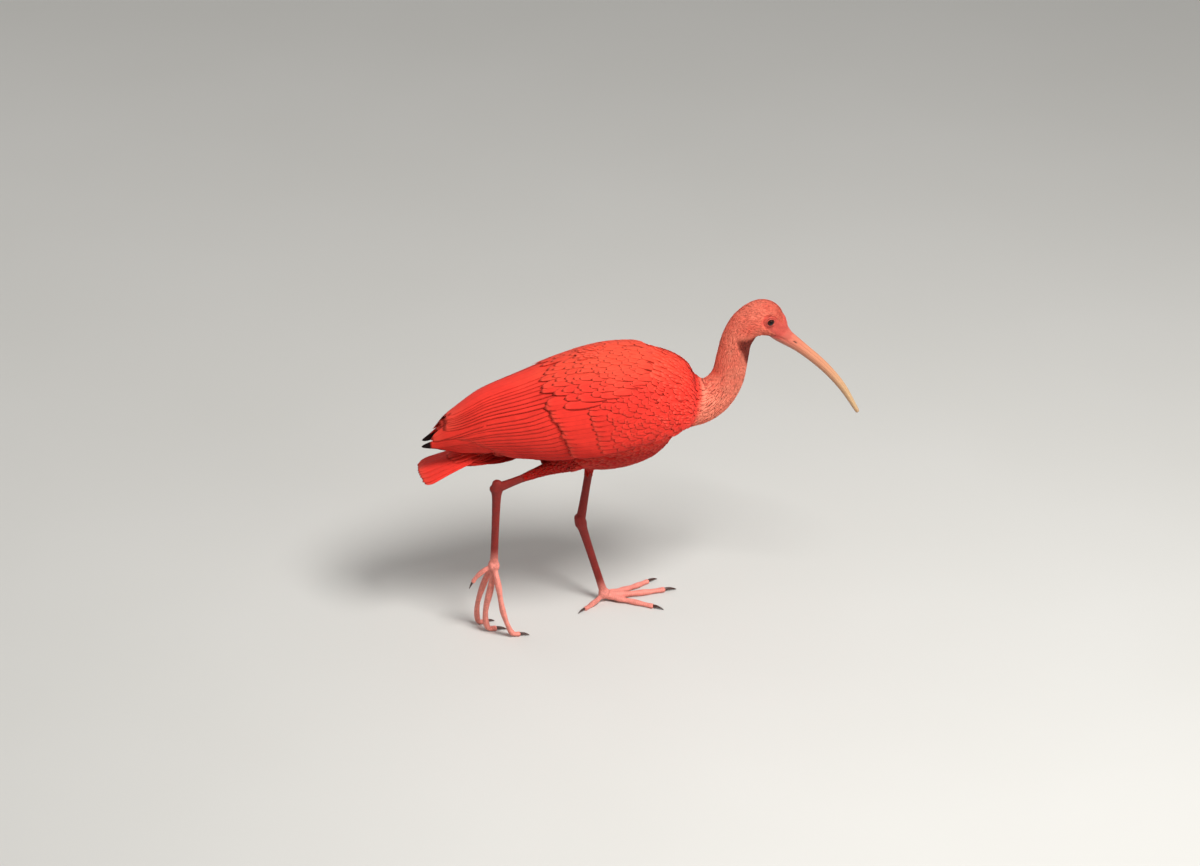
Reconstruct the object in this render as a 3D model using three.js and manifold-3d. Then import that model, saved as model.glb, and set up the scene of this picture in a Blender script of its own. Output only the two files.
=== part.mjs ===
// A scarlet ibis at life size, caught in mid stride: the left foot is planted flat and the right one
// is rolling off its toe tips. Millimetres, +X is where the bird is heading, +Y its left, +Z up.
// The floor is z = 0. Each named mesh is one part of the bird, and the parts meet with a hair's gap.

import * as THREE from "three";
import { mergeVertices } from "three/addons/utils/BufferGeometryUtils.js";
import Module from "manifold-3d";

const wasm = await Module();
wasm.setup();

// Driving sizes
const GAP = 0.3;
const FLOOR = 0;
const BILL_TIP = [262, 209];
const BILL_BASE = [180, 305];
const EYE_AT = [168, 325];
const EYE_RADIUS = 5.4;
const EYE_OUT = 12.2;
const ANKLE_RIGHT = [-108, -25, 166];
const ANKLE_LEFT = [-17, 20, 94];
const HUB_RIGHT = [-112, -25, 77];
const HUB_LEFT = [7, 18, 8];
const WING_TIP_X = -178;
const TAIL_TIP = [-184, 177];

const COLOURS = {
  scarlet: [0.8, 0.045, 0.03],
  neck: [0.83, 0.13, 0.09],
  bill: [0.74, 0.42, 0.3],
  leg: [0.62, 0.17, 0.14],
  claw: [0.12, 0.07, 0.06],
  eye: [0.03, 0.015, 0.012],
};

// Vectors and small sums
const vec = (x, y, z) => new THREE.Vector3(x, y, z);
const mix = THREE.MathUtils.lerp;
const radians = THREE.MathUtils.degToRad;
const LEFTWARD = vec(0, 1, 0);
const between = (a, b, f) => a.map((value, i) => mix(value, b[i], f));

// A seeded draw from -1 to 1, so that no two feathers are quite alike and every build is the same
let seed = 17;
function vary() {
  seed = (seed * 16807) % 2147483647;
  return (2 * seed) / 2147483647 - 1;
}

// Solids: a three.js geometry becomes one that can be joined and cut, and comes back again
function solidOf(geometry) {
  const bare = new THREE.BufferGeometry();
  bare.setAttribute("position", geometry.getAttribute("position"));
  bare.setIndex(geometry.index);
  const merged = mergeVertices(bare, 1e-4);
  const mesh = new wasm.Mesh({
    numProp: 3,
    vertProperties: new Float32Array(merged.getAttribute("position").array),
    triVerts: new Uint32Array(merged.index.array),
  });
  return new wasm.Manifold(mesh);
}

function geometryOf(solid) {
  const mesh = solid.getMesh();
  const geometry = new THREE.BufferGeometry();
  geometry.setAttribute("position", new THREE.BufferAttribute(mesh.vertProperties, 3));
  geometry.setIndex(new THREE.BufferAttribute(mesh.triVerts, 1));
  const faceted = geometry.toNonIndexed();
  faceted.computeVertexNormals();
  return faceted;
}

function largest(solid) {
  const bodies = solid.decompose();
  return bodies.reduce((best, body) => (body.volume() > best.volume() ? body : best));
}

const joined = (solids) => solids.reduce((sum, one) => sum.add(one));
const beyond = (solid, point, way) => {
  const normal = way.clone().normalize();
  return solid.trimByPlane(normal.toArray(), normal.dot(point));
};

// Rings of points joined into one closed surface. The first half of a ring and the second half have
// mirrored diagonals, so a thin sheet's two faces bend along the same lines.
function closedSurface(rings) {
  const sides = rings[0].length;
  const half = sides / 2;
  const positions = rings.flat().flatMap((p) => p.toArray());
  const index = [];
  for (let i = 0; i + 1 < rings.length; i++) {
    for (let j = 0; j < sides; j++) {
      const next = (j + 1) % sides;
      const [a, b] = [i * sides + j, i * sides + next];
      const [c, d] = [a + sides, b + sides];
      if (j < half) index.push(a, b, d, a, d, c);
      else index.push(a, b, c, b, d, c);
    }
  }
  const last = (rings.length - 1) * sides;
  for (let j = 1; j + 1 < sides; j++) {
    index.push(0, j + 1, j);
    index.push(last, last + j, last + j + 1);
  }
  const geometry = new THREE.BufferGeometry();
  geometry.setAttribute("position", new THREE.Float32BufferAttribute(positions, 3));
  geometry.setIndex(index);
  return geometry;
}

// A rounded form along a bent line. stations are [x, y, z, half width, reach up, reach down], and the
// ends are closed by domes of the given lengths. grow makes the same form a little fatter.
function form(shape, grow = 0) {
  const { stations, steps, sides = 16, domes = [4, 4], leans = [68, 34] } = shape;
  const { side = LEFTWARD, square = 1 } = shape;
  const curve = (from) =>
    new THREE.CatmullRomCurve3(
      stations.map((s) => vec(...s.slice(from, from + 3))), false, "catmullrom", 0.5,
    );
  const [centres, sizes] = [curve(0), curve(3)];
  const ringAt = (t, shift, shrink) => {
    const along = centres.getTangent(t);
    const across = side.clone().addScaledVector(along, -side.dot(along)).normalize();
    const up = along.clone().cross(across);
    const [wide, high, low] = sizes.getPoint(t).toArray().map((s) => (s + grow) * shrink);
    const centre = centres.getPoint(t).addScaledVector(along, shift);
    return Array.from({ length: sides }, (_, j) => {
      const angle = (2 * Math.PI * (j + 0.5)) / sides;
      const [c, s] = [Math.cos(angle), Math.sin(angle)];
      const [u, v] = [Math.sign(c) * Math.abs(c) ** square, Math.sign(s) * Math.abs(s) ** square];
      const reach = (v > 0 ? high : low) * v;
      return centre.clone().addScaledVector(across, wide * u).addScaledVector(up, reach);
    });
  };
  const dome = (t, length, way) =>
    leans.map((degrees) => {
      const lean = radians(degrees);
      return ringAt(t, way * (length + grow) * Math.sin(lean), Math.cos(lean));
    });
  const rings = [...dome(0, domes[0], -1)];
  for (let i = 0; i <= steps; i++) rings.push(ringAt(i / steps, 0, 1));
  rings.push(...dome(1, domes[1], 1).reverse());
  return solidOf(closedSurface(rings));
}

// A ball stretched along the axes
function ellipsoid([x, y, z], [a, b, c], grow = 0, detail = 16) {
  const ball = new THREE.SphereGeometry(1, detail, detail / 2);
  ball.scale(a + grow, b + grow, c + grow).translate(x, y, z);
  return solidOf(ball);
}

// One feather's vane: a thin blade that widens from its root and rounds off at its tip. Its shaft
// stands proud where shaft is over 0. rise is the share of its length in which it leaves its root, and
// place(t, across, lift) gives a point, with across from -1 to 1.
function vane(place, rise, { thick = 0.7, shaft = 0 }) {
  const middle = rise < 0.22 ? [[mix(rise, 1, 0.35), 0.96], [mix(rise, 1, 0.68), 1]] : [[mix(rise, 1, 0.55), 1]];
  const outline = [[0, 0.5], [rise, 0.85], ...middle, [0.92, 0.72], [1, 0.2]];
  const rings = outline.map(([t, share]) => {
    const blade = thick * mix(1, 0.75, t);
    const across = shaft > 0 ? [share, 0, -share] : [share, -share];
    const heights = across.map((a) => (a === 0 ? shaft : 0));
    const top = across.map((a, k) => place(t, a, heights[k]));
    const under = across.map((a, k) => place(t, a, heights[k] - blade));
    return [...top, ...under.reverse()];
  });
  const solid = solidOf(closedSurface(rings));
  return solid.volume() > 0 ? solid : solidOf(closedSurface(rings.reverse()));
}

// Torso, from the rump forward to the breast
const TORSO = {
  stations: [
    [-106, 0, 212, 24, 26, 22],
    [-80, 0, 222, 36, 42, 36],
    [-42, 0, 230, 47, 56, 53],
    [0, 0, 233, 51, 63, 64],
    [38, 0, 238, 49, 59, 61],
    [66, 0, 240, 41, 45, 46],
    [86, 0, 237, 29, 30, 31],
  ],
  steps: 10,
  sides: 22,
  domes: [12, 15],
};
const torso = form(TORSO);
const torsoGrown = form(TORSO, GAP);

// The coat: the surface that the folded wings' feathers lie on, wider than the torso. Rows are
// [x, height of its middle, half width, half height], from the wing's bend to beyond its tip.
const COAT = [
  [100, 236, 30, 30],
  [84, 238, 39, 39],
  [64, 240, 48.5, 51],
  [38, 238, 55.5, 63],
  [0, 233.5, 58, 67.5],
  [-40, 231, 55, 60],
  [-80, 229, 46, 48],
  [-120, 225, 33, 38],
  [-155, 217, 19.5, 23],
  [-180, 209, 9, 9],
];

const coatRows = COAT.slice().reverse();
const coatSizes = new THREE.CubicInterpolant(
  coatRows.map((row) => row[0]), coatRows.flatMap((row) => row.slice(1)), 3,
);

function onCoat(side, x, theta, lift) {
  const [middle, wide, high] = coatSizes.evaluate(x);
  const y = side * (wide + lift) * Math.sin(theta);
  return vec(x, y, middle + (high + lift) * Math.cos(theta));
}

// A feather lying on the coat from root to tip, each [x, degrees down from the back's middle line].
// It climbs from sunk to proud, its heights over the coat, within its first CLIMB millimetres. Half its
// width is reach gaps between neighbours, gaps being [x, degrees] from it to the next one down at its
// root and tip, and its lower edge is raised by step for each gap that it reaches.
const CLIMB = 18;

function coatFeather(side, root, tip, gaps, look) {
  const { sunk, proud, reach, step } = look;
  const rise = CLIMB / Math.abs(root[0] - tip[0]);
  const place = (t, across, lift) => {
    const sideways = across * reach;
    const [gapX, gapDegrees] = between(gaps[0], gaps[1], t);
    const x = mix(root[0], tip[0], t) + sideways * gapX;
    const degrees = mix(root[1], tip[1], t) + sideways * gapDegrees;
    const least = 2 / Math.max(coatSizes.evaluate(x)[1], 10);
    const climb = mix(sunk, proud, Math.min(1, t / rise));
    return onCoat(side, x, Math.max(radians(degrees), least), climb + sideways * step + lift);
  };
  return vane(place, rise, look);
}

// Tiers of wing feathers, from the deepest outward. In each, lowest and highest are [root, tip].
const WING_TIERS = {
  primaries: {
    count: 5,
    lowest: [[-104, 108], [-158, 119]],
    highest: [[-114, 84], [WING_TIP_X, 84]],
    look: { reach: 1.3, sunk: -9, proud: -2.4, step: 0.95, shaft: 0.15 },
  },
  secondaries: {
    count: 7,
    lowest: [[-16, 112], [-108, 119]],
    highest: [[-42, 53], [-168, 54]],
    look: { reach: 0.76, sunk: -5, proud: -1.1, step: 1 },
  },
  tertials: {
    count: 4,
    lowest: [[-6, 41], [-166, 42]],
    highest: [[12, 14], [-146, 14]],
    look: { reach: 0.76, sunk: -4.6, proud: 0.3, step: 1, shaft: 0.15 },
  },
  greaterCoverts: {
    count: 7,
    lowest: [[16, 112], [-38, 113]],
    highest: [[-4, 54], [-62, 54]],
    look: { reach: 0.7, sunk: -4.8, proud: 0.2, step: 1 },
  },
  medianCoverts: {
    count: 6,
    lowest: [[50, 108], [2, 110]],
    highest: [[32, 50], [-18, 51]],
    look: { reach: 0.7, sunk: -5, proud: 0.6, step: 1 },
  },
  lesserCoverts: {
    count: 5,
    lowest: [[76, 98], [36, 104]],
    highest: [[66, 46], [18, 48]],
    look: { reach: 0.7, sunk: -5, proud: 1, step: 1 },
  },
  scapulars: {
    count: 3,
    lowest: [[72, 37], [-30, 37]],
    highest: [[76, 13], [-8, 13]],
    look: { reach: 0.76, sunk: -4.4, proud: 1.3, step: 1 },
  },
};

function wingFeathers(side) {
  return Object.values(WING_TIERS).flatMap(({ count, lowest, highest, look }) => {
    const share = 1 / (count - 1);
    const gaps = [0, 1].map((end) => lowest[end].map((value, k) => (value - highest[end][k]) * share));
    return Array.from({ length: count }, (_, i) => {
      const [root, tip] = [0, 1].map((end) => between(lowest[end], highest[end], i * share));
      const mine = [tip[0] + 2.5 * vary(), tip[1] + 0.5 * vary()];
      return coatFeather(side, root, mine, gaps, look);
    });
  });
}

// The folded arm that the wing's feathers grow from: the coat's shape a little smaller, cut to the
// wing's outline from the side
const ARM_DEPTH = 3;

function wingArm(side) {
  const coat = form({
    stations: COAT.slice(1, -2).reverse().map(([x, z, wide, high]) => [x, 0, z, wide, high, high]),
    steps: 7,
    sides: 20,
    domes: [24, 8],
  }, -ARM_DEPTH);
  const outline = new THREE.Shape();
  outline.moveTo(-150, 207);
  outline.lineTo(-100, 207);
  outline.quadraticCurveTo(-10, 206, 44, 212);
  outline.quadraticCurveTo(80, 216, 82, 240);
  outline.quadraticCurveTo(82, 272, 56, 310);
  outline.lineTo(-150, 310);
  const reach = 90;
  const midline = 1.4;
  const depth = reach - midline;
  const slab = new THREE.ExtrudeGeometry(outline, { depth, bevelEnabled: false, curveSegments: 5 });
  slab.rotateX(Math.PI / 2);
  slab.translate(0, side < 0 ? -midline : reach, 0);
  return coat.intersect(solidOf(slab));
}

// Tail. Twelve feathers in a low fan, the middle pair on top, with coverts over and under their roots.
const TAIL_ROOT = {
  stations: [
    [-138, 0, 192.5, 12, 3.4, 3.6],
    [-126, 0, 197.5, 14, 6.2, 6.6],
    [-112, 0, 203, 14, 9, 10],
    [-98, 0, 207, 15, 11, 12],
  ],
  steps: 3,
  sides: 12,
  domes: [2, 4],
  leans: [50],
};
const TAIL_FAN = { root: [-120, 199.5], gaps: [1.5, 3.7], reach: 1.35, step: 0.9, droop: 0.3 };

// A straight feather from root to tip. place's sideways runs outward, and outer edges are raised.
function tailFeather(root, tip, outward, gaps, look) {
  const up = vec(...tip).sub(vec(...root)).cross(LEFTWARD).normalize();
  up.multiplyScalar(Math.sign(up.z));
  const place = (t, across, lift) => {
    const sideways = across * look.reach;
    return vec(...between(root, tip, t))
      .addScaledVector(LEFTWARD, (outward || 1) * sideways * mix(gaps[0], gaps[1], t))
      .addScaledVector(up, lift + Math.abs(outward) * sideways * look.step);
  };
  return vane(place, 0.4, look);
}

function buildTail() {
  const { root, gaps, droop } = TAIL_FAN;
  const look = { reach: TAIL_FAN.reach, step: TAIL_FAN.step, shaft: 0.15 };
  const feathers = [];
  for (const [outward, count] of [[0, 1], [1, 5], [-1, 6]]) {
    for (let i = 0; i < count; i++) {
      const column = outward * (i + 1);
      const lower = Math.abs(column) * droop - (outward === 0 ? 0.6 : 0);
      const from = [root[0], column * gaps[0], root[1] - lower];
      const reach = TAIL_TIP[0] + 0.16 * column ** 2 + 0.8 * vary();
      const to = [reach, column * gaps[1], TAIL_TIP[1] + 1.5 - lower];
      feathers.push(tailFeather(from, to, outward, gaps, look));
    }
  }
  for (const [outward, y] of [[0, 0], [1, 7], [-1, -7]]) {
    const coverts = { reach: 1, step: 0.9, thick: 0.8 };
    const over = [[-108, y * 0.8, 208], [-148 + Math.abs(y), y * 1.2, 194.4 - Math.abs(y) * 0.15]];
    const under = [[-110, y * 0.8, 197], [-156 + Math.abs(y), y * 1.2, 180 - Math.abs(y) * 0.1]];
    feathers.push(tailFeather(...over, outward, [5, 6.5], coverts));
    feathers.push(tailFeather(...under, outward, [5, 6.5], coverts));
  }
  return largest(joined([form(TAIL_ROOT), ...feathers]).subtract(torsoGrown));
}

// The room that the wings leave for the tail and its coverts
const TAIL_ROOM = {
  stations: [
    [-190, 0, 177, 30, 7, 10],
    [-150, 0, 189, 22, 7, 14],
    [-126, 0, 198, 17, 8, 16],
    [-96, 0, 208, 17, 12, 16],
  ],
  steps: 4,
  sides: 12,
  domes: [2, 2],
  leans: [50],
};

function wing(side, thigh) {
  const beside = joined([torsoGrown, form(TAIL_ROOM, GAP), form(thigh, GAP)]);
  return largest(joined([wingArm(side), ...wingFeathers(side)]).subtract(beside));
}

// Neck and head. The neck leaves the breast level, then turns up to the nape.
const NECK = {
  stations: [
    [66, 0, 234, 27, 28, 27],
    [92, 0, 231, 23, 25, 24],
    [114, 0, 240, 18.5, 20, 20],
    [128, 0, 258, 16, 17, 18],
    [133, 0, 281, 15, 16, 17],
    [137, 0, 302, 15, 16, 16],
    [147, 0, 318, 14, 14, 14],
  ],
  steps: 10,
  sides: 16,
  domes: [5, 5],
};
const NECK_SPLIT = { at: vec(129, 0, 261), way: vec(0.35, 0, 1) };
const HEAD = {
  stations: [
    [141, 0, 315, 12.5, 13, 13],
    [151, 0, 321, 16, 18.5, 18.5],
    [163, 0, 321.5, 16.8, 20.5, 20.5],
    [174, 0, 315, 13, 16, 15],
    [184, 0, 305, 8, 9.5, 9],
  ],
  steps: 8,
  sides: 18,
  domes: [6, 2.5],
};

// Bill: one drooping taper, parted by a thin ribbon along the line of the mouth
const BILL_LINE = [BILL_BASE, [203, 286], [227, 262.5], [246, 238], BILL_TIP];
const BILL_SIZES = [[7.2, 8.6], [5, 5.9], [4.1, 4.9], [3.4, 3.9], [2.1, 2.1]];
const bill = form({
  stations: BILL_LINE.map(([x, z], i) => {
    const [wide, high] = BILL_SIZES[i];
    return [x, 0, z, wide, high, high];
  }),
  steps: 11,
  sides: 12,
  domes: [3, 2.6],
  leans: [55],
  square: 0.9,
});

function mouthRibbon() {
  const wide = 20;
  const thin = GAP / 2;
  const past = [BILL_TIP[0] + 4, BILL_TIP[1] - 12];
  const line = [[170, 309], ...BILL_LINE, past].map(([x, z], i) => [x, 0, z - (i < 2 ? 1.5 : 0.8)]);
  const curve = new THREE.CatmullRomCurve3(line.map((p) => vec(...p)), false, "catmullrom", 0.5);
  const steps = 10;
  const rings = Array.from({ length: steps + 1 }, (_, i) => {
    const along = curve.getTangent(i / steps);
    const up = along.clone().cross(LEFTWARD);
    return [[-wide, thin], [wide, thin], [wide, -thin], [-wide, -thin]].map(([y, u]) =>
      curve.getPoint(i / steps).addScaledVector(LEFTWARD, y).addScaledVector(up, u),
    );
  });
  const ribbon = solidOf(closedSurface(rings));
  return ribbon.volume() > 0 ? ribbon : solidOf(closedSurface(rings.reverse()));
}

function nostrils() {
  const slit = (side) => {
    const cut = new THREE.SphereGeometry(1, 8, 5);
    cut.scale(5, 1.5, 0.9).rotateY(radians(39)).translate(196, side * 5.3, 294.5);
    return solidOf(cut);
  };
  return slit(1).add(slit(-1));
}

// Eyes, each in a socket with a raised ring of lid
function eyeball(side, grow = 0) {
  return ellipsoid([EYE_AT[0], side * EYE_OUT, EYE_AT[1]], [EYE_RADIUS, EYE_RADIUS, EYE_RADIUS], grow, 12);
}

function lid(side) {
  const ring = new THREE.TorusGeometry(EYE_RADIUS * 0.86, 1.35, 5, 14);
  ring.rotateX(Math.PI / 2).scale(1.12, 1, 0.96).rotateZ(side * radians(-12));
  return solidOf(ring.translate(EYE_AT[0], side * (EYE_OUT + 2.9), EYE_AT[1]));
}

function buildHead() {
  const skull = joined([form(HEAD), lid(1), lid(-1)]);
  const hollowed = skull.subtract(eyeball(1, GAP)).subtract(eyeball(-1, GAP));
  return largest(hollowed.subtract(mouthRibbon()));
}

// Legs. A line goes knee, end of the thigh's feathers, ankle, hub of the toes.
const LEGS = {
  left: { knee: [4, 33, 210], feathered: 0.52, ankle: ANKLE_LEFT, hub: HUB_LEFT, thigh: 15 },
  right: { knee: [6, -35, 212], feathered: 0.72, ankle: ANKLE_RIGHT, hub: HUB_RIGHT, thigh: 16 },
};
const along = (a, b, f, sizes) => [...between(a, b, f), ...sizes];

function legForms({ knee, feathered, ankle, hub, thigh }) {
  const end = between(knee, ankle, feathered);
  const thighForm = {
    stations: [
      along(knee, ankle, 0.02, [thigh * 0.8, thigh, thigh]),
      along(knee, ankle, feathered * 0.45, [thigh * 0.72, thigh * 0.9, thigh * 0.85]),
      along(knee, ankle, feathered * 0.8, [thigh * 0.46, thigh * 0.55, thigh * 0.55]),
      along(knee, ankle, feathered, [5.2, 5.8, 5.8]),
    ],
    steps: 6,
    sides: 12,
    domes: [7, 2.5],
  };
  const shankForm = {
    stations: [
      along(end, ankle, -0.12, [3.7, 4.2, 4.2]),
      along(end, ankle, 0.4, [3.3, 3.8, 3.8]),
      along(end, ankle, 0.94, [4, 4.6, 4.6]),
    ],
    steps: 3,
    sides: 10,
    domes: [2, 1.5],
    leans: [50],
  };
  const tarsusForm = {
    stations: [
      along(ankle, hub, -0.045, [4.6, 5.2, 5.2]),
      along(ankle, hub, 0.02, [5.2, 6.2, 6]),
      along(ankle, hub, 0.14, [3.6, 4.3, 4.3]),
      along(ankle, hub, 0.5, [3, 3.6, 3.6]),
      along(ankle, hub, 0.86, [3.4, 3.7, 3.7]),
      along(ankle, hub, 0.98, [4.2, 4.4, 4.4]),
    ],
    steps: 9,
    sides: 10,
    domes: [2.6, 1],
    leans: [50],
  };
  return { thighForm, shankForm, tarsusForm };
}

// Toes, each from the hub out to the root of its claw, and the claw's tip
const TOES_LEFT = {
  inner: { line: [HUB_LEFT, [21, 12, 4.2], [38, 4, 2.5], [53, -5, 2.1]], claw: [63.5, -11, 1] },
  middle: { line: [HUB_LEFT, [23, 19.5, 4.3], [48, 22, 2.7], [70, 25, 2.3]], claw: [83, 27, 1] },
  outer: { line: [HUB_LEFT, [21, 26, 4.2], [40, 35, 2.5], [56, 44, 2.1]], claw: [67, 50, 1] },
  hind: { line: [HUB_LEFT, [-1, 11.5, 4.6], [-10, 5, 2.1], [-15, 1, 1.8]], claw: [-23, -5, 1] },
};
const TOES_RIGHT = {
  inner: {
    line: [HUB_RIGHT, [-118, -16, 60], [-127, -12, 28], [-127, -9.5, 5], [-120, -8, 2]],
    claw: [-110, -6, 1],
  },
  middle: {
    line: [HUB_RIGHT, [-115, -26, 55], [-121, -25, 24], [-119, -24, 5], [-111, -23.5, 2.2]],
    claw: [-100, -24, 1],
  },
  outer: {
    line: [HUB_RIGHT, [-109, -35, 59], [-105, -38, 30], [-97, -38, 5.6], [-89, -38, 2]],
    claw: [-79, -39, 1],
  },
  hind: { line: [HUB_RIGHT, [-121, -25.5, 73], [-129, -25, 66], [-133, -24.5, 60]], claw: [-137, -24, 52] },
};
const TOE_RADII = { inner: 3.5, middle: 3.8, outer: 3.5, hind: 3 };
const TOE_CUT = { inner: 19, middle: 20, outer: 19, hind: 11 };
const HUB_SIZE = [6.8, 6.6, 6];

function toeForm(name, line) {
  const radius = TOE_RADII[name];
  const thinning = line.map((_, i) => radius * mix(1, 0.72, i / (line.length - 1)));
  return {
    stations: line.map((p, i) => [...p, thinning[i], thinning[i] * 0.95, thinning[i]]),
    steps: name === "hind" ? 3 : 6,
    sides: 8,
    domes: [1, 2.2],
    leans: [50],
    side: vec(0.05, 1, 0.2).normalize(),
  };
}

function clawForm(name, line, tip) {
  const start = line[line.length - 1];
  const radius = TOE_RADII[name] * 0.6;
  const middle = between(start, tip, 0.5);
  middle[2] += 0.7;
  return {
    stations: [
      [...between(line[line.length - 2], start, 0.9), radius, radius, radius * 0.9],
      [...middle, radius * 0.7, radius * 0.7, radius * 0.6],
      [...tip, 0.45, 0.45, 0.4],
    ],
    steps: 3,
    sides: 6,
    domes: [0.5, 0.6],
    leans: [45],
  };
}

// A small web between two toes, no further out than their first joints
function web(line, other) {
  const share = 0.82;
  const thin = 0.8;
  const hub = vec(...line[0]);
  const outTo = (toe, f) => hub.clone().lerp(vec(...toe[1]), f);
  const edge = outTo(line, share * 0.62).lerp(outTo(other, share * 0.62), 0.5);
  const corners = [hub.clone(), outTo(line, share), edge, outTo(other, share)];
  const normal = corners[1].clone().sub(hub).cross(corners[3].clone().sub(hub)).normalize();
  const top = corners.map((c) => c.clone().addScaledVector(normal, thin));
  const under = corners.map((c) => c.clone().addScaledVector(normal, -thin));
  const sheet = solidOf(closedSurface([under, top]));
  return sheet.volume() > 0 ? sheet : solidOf(closedSurface([top, under]));
}

function buildFoot(hub, toes) {
  const cutPoint = (name) => {
    const line = toes[name].line.map((p) => vec(...p));
    const curve = new THREE.CatmullRomCurve3(line, false, "catmullrom", 0.5);
    const t = curve.getUtoTmapping(0, TOE_CUT[name]);
    return { point: curve.getPoint(t), way: curve.getTangent(t) };
  };
  const pieces = {};
  const palm = [ellipsoid(hub, HUB_SIZE, 0, 12)];
  const onFloor = (solid) => beyond(solid, vec(0, 0, FLOOR), vec(0, 0, 1));
  for (const [name, { line, claw }] of Object.entries(toes)) {
    const whole = form(toeForm(name, line));
    const { point, way } = cutPoint(name);
    const outer = point.clone().addScaledVector(way, GAP / 2);
    const inner = point.clone().addScaledVector(way, -GAP / 2);
    pieces[`toe_${name}`] = largest(onFloor(beyond(whole, outer, way)));
    palm.push(largest(beyond(whole, inner, way.clone().negate())));
    const grown = form(toeForm(name, line), GAP);
    pieces[`claw_${name}`] = largest(onFloor(form(clawForm(name, line, claw)).subtract(grown)));
  }
  palm.push(web(toes.inner.line, toes.middle.line), web(toes.middle.line, toes.outer.line));
  pieces.foot = largest(onFloor(joined(palm)));
  return pieces;
}

function buildLeg(leg, toes) {
  const { thighForm, shankForm, tarsusForm } = legForms(leg);
  const hubGrown = ellipsoid(leg.hub, HUB_SIZE, GAP, 12);
  const toesGrown = Object.entries(toes).map(([name, { line }]) => form(toeForm(name, line), GAP));
  return {
    thigh: largest(form(thighForm).subtract(torsoGrown)),
    shank: largest(form(shankForm).subtract(form(thighForm, GAP)).subtract(form(tarsusForm, GAP))),
    tarsus: largest(form(tarsusForm).subtract(joined([hubGrown, ...toesGrown]))),
    ...buildFoot(leg.hub, toes),
  };
}

// The bird as a scene graph
const bird = new THREE.Group();
const materials = Object.fromEntries(
  Object.entries(COLOURS).map(([name, rgb]) => [
    name,
    new THREE.MeshStandardMaterial({
      color: new THREE.Color(...rgb), roughness: name === "eye" ? 0.1 : 0.7, metalness: 0,
    }),
  ]),
);

function addPart(name, solid, material) {
  const mesh = new THREE.Mesh(geometryOf(solid), materials[material]);
  mesh.name = name;
  bird.add(mesh);
}

const headGrown = form(HEAD, GAP);
const neck = form(NECK).subtract(torsoGrown).subtract(headGrown);
const splitBelow = NECK_SPLIT.at.clone().addScaledVector(NECK_SPLIT.way, -GAP / 2);
const splitAbove = NECK_SPLIT.at.clone().addScaledVector(NECK_SPLIT.way, GAP / 2);
const jaws = bill.subtract(headGrown).subtract(mouthRibbon()).subtract(nostrils());
const [jawA, jawB] = jaws.decompose().sort((a, b) => b.volume() - a.volume());
const higher = (solid) => solid.boundingBox().max[2];
const [billUpper, billLower] = higher(jawA) > higher(jawB) ? [jawA, jawB] : [jawB, jawA];

addPart("torso", torso, "scarlet");
addPart("neck_lower", largest(beyond(neck, splitBelow, NECK_SPLIT.way.clone().negate())), "neck");
addPart("neck_upper", largest(beyond(neck, splitAbove, NECK_SPLIT.way)), "neck");
addPart("head", buildHead(), "neck");
addPart("bill_upper", billUpper, "bill");
addPart("bill_lower", billLower, "bill");
addPart("tail", buildTail(), "scarlet");
const HALVES = [["left", 1, LEGS.left, TOES_LEFT], ["right", -1, LEGS.right, TOES_RIGHT]];
for (const [name, side, leg, toes] of HALVES) {
  addPart(`eye_${name}`, eyeball(side), "eye");
  addPart(`wing_${name}`, wing(side, legForms(leg).thighForm), "scarlet");
  for (const [piece, solid] of Object.entries(buildLeg(leg, toes))) {
    const material = piece === "thigh" ? "scarlet" : piece.startsWith("claw") ? "claw" : "leg";
    addPart(`${piece}_${name}`, solid, material);
  }
}

// The origin goes to the middle of the bird's outer box, on the floor
const box = new THREE.Box3().setFromObject(bird);
bird.position.set(-(box.min.x + box.max.x) / 2, -(box.min.y + box.max.y) / 2, -box.min.z);

export default bird;
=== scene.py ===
"""A scarlet ibis at life size, dressed with skin, feathers, horn and eyes for a still museum model.

Shapes are worked out in millimetres (x forward, y to the bird's left, z up from the floor). A
finished piece is put in metres, where the solids lie.
"""

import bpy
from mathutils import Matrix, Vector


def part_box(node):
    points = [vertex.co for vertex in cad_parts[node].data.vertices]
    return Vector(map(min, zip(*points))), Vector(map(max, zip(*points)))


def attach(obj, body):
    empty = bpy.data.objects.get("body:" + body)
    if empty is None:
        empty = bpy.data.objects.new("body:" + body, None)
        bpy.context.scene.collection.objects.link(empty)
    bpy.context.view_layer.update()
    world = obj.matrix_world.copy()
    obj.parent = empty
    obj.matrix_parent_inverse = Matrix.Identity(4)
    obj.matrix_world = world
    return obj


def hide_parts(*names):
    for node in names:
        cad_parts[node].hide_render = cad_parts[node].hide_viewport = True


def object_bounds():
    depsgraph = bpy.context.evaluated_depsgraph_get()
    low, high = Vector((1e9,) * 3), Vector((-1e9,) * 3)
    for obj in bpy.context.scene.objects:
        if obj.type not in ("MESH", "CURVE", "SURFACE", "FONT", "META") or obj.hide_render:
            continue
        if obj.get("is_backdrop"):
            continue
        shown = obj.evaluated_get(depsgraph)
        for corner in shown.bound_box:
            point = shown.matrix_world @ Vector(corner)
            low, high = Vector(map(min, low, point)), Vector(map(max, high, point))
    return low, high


bl_info = {
    "name": "Scarlet ibis model",
    "version": (1, 0, 0),
    "blender": (4, 5, 0),
    "location": "3D View > Sidebar > Ibis",
    "description": "Dresses the solids of a walking scarlet ibis with skin, feathers and horn",
    "category": "Object",
}

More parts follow.
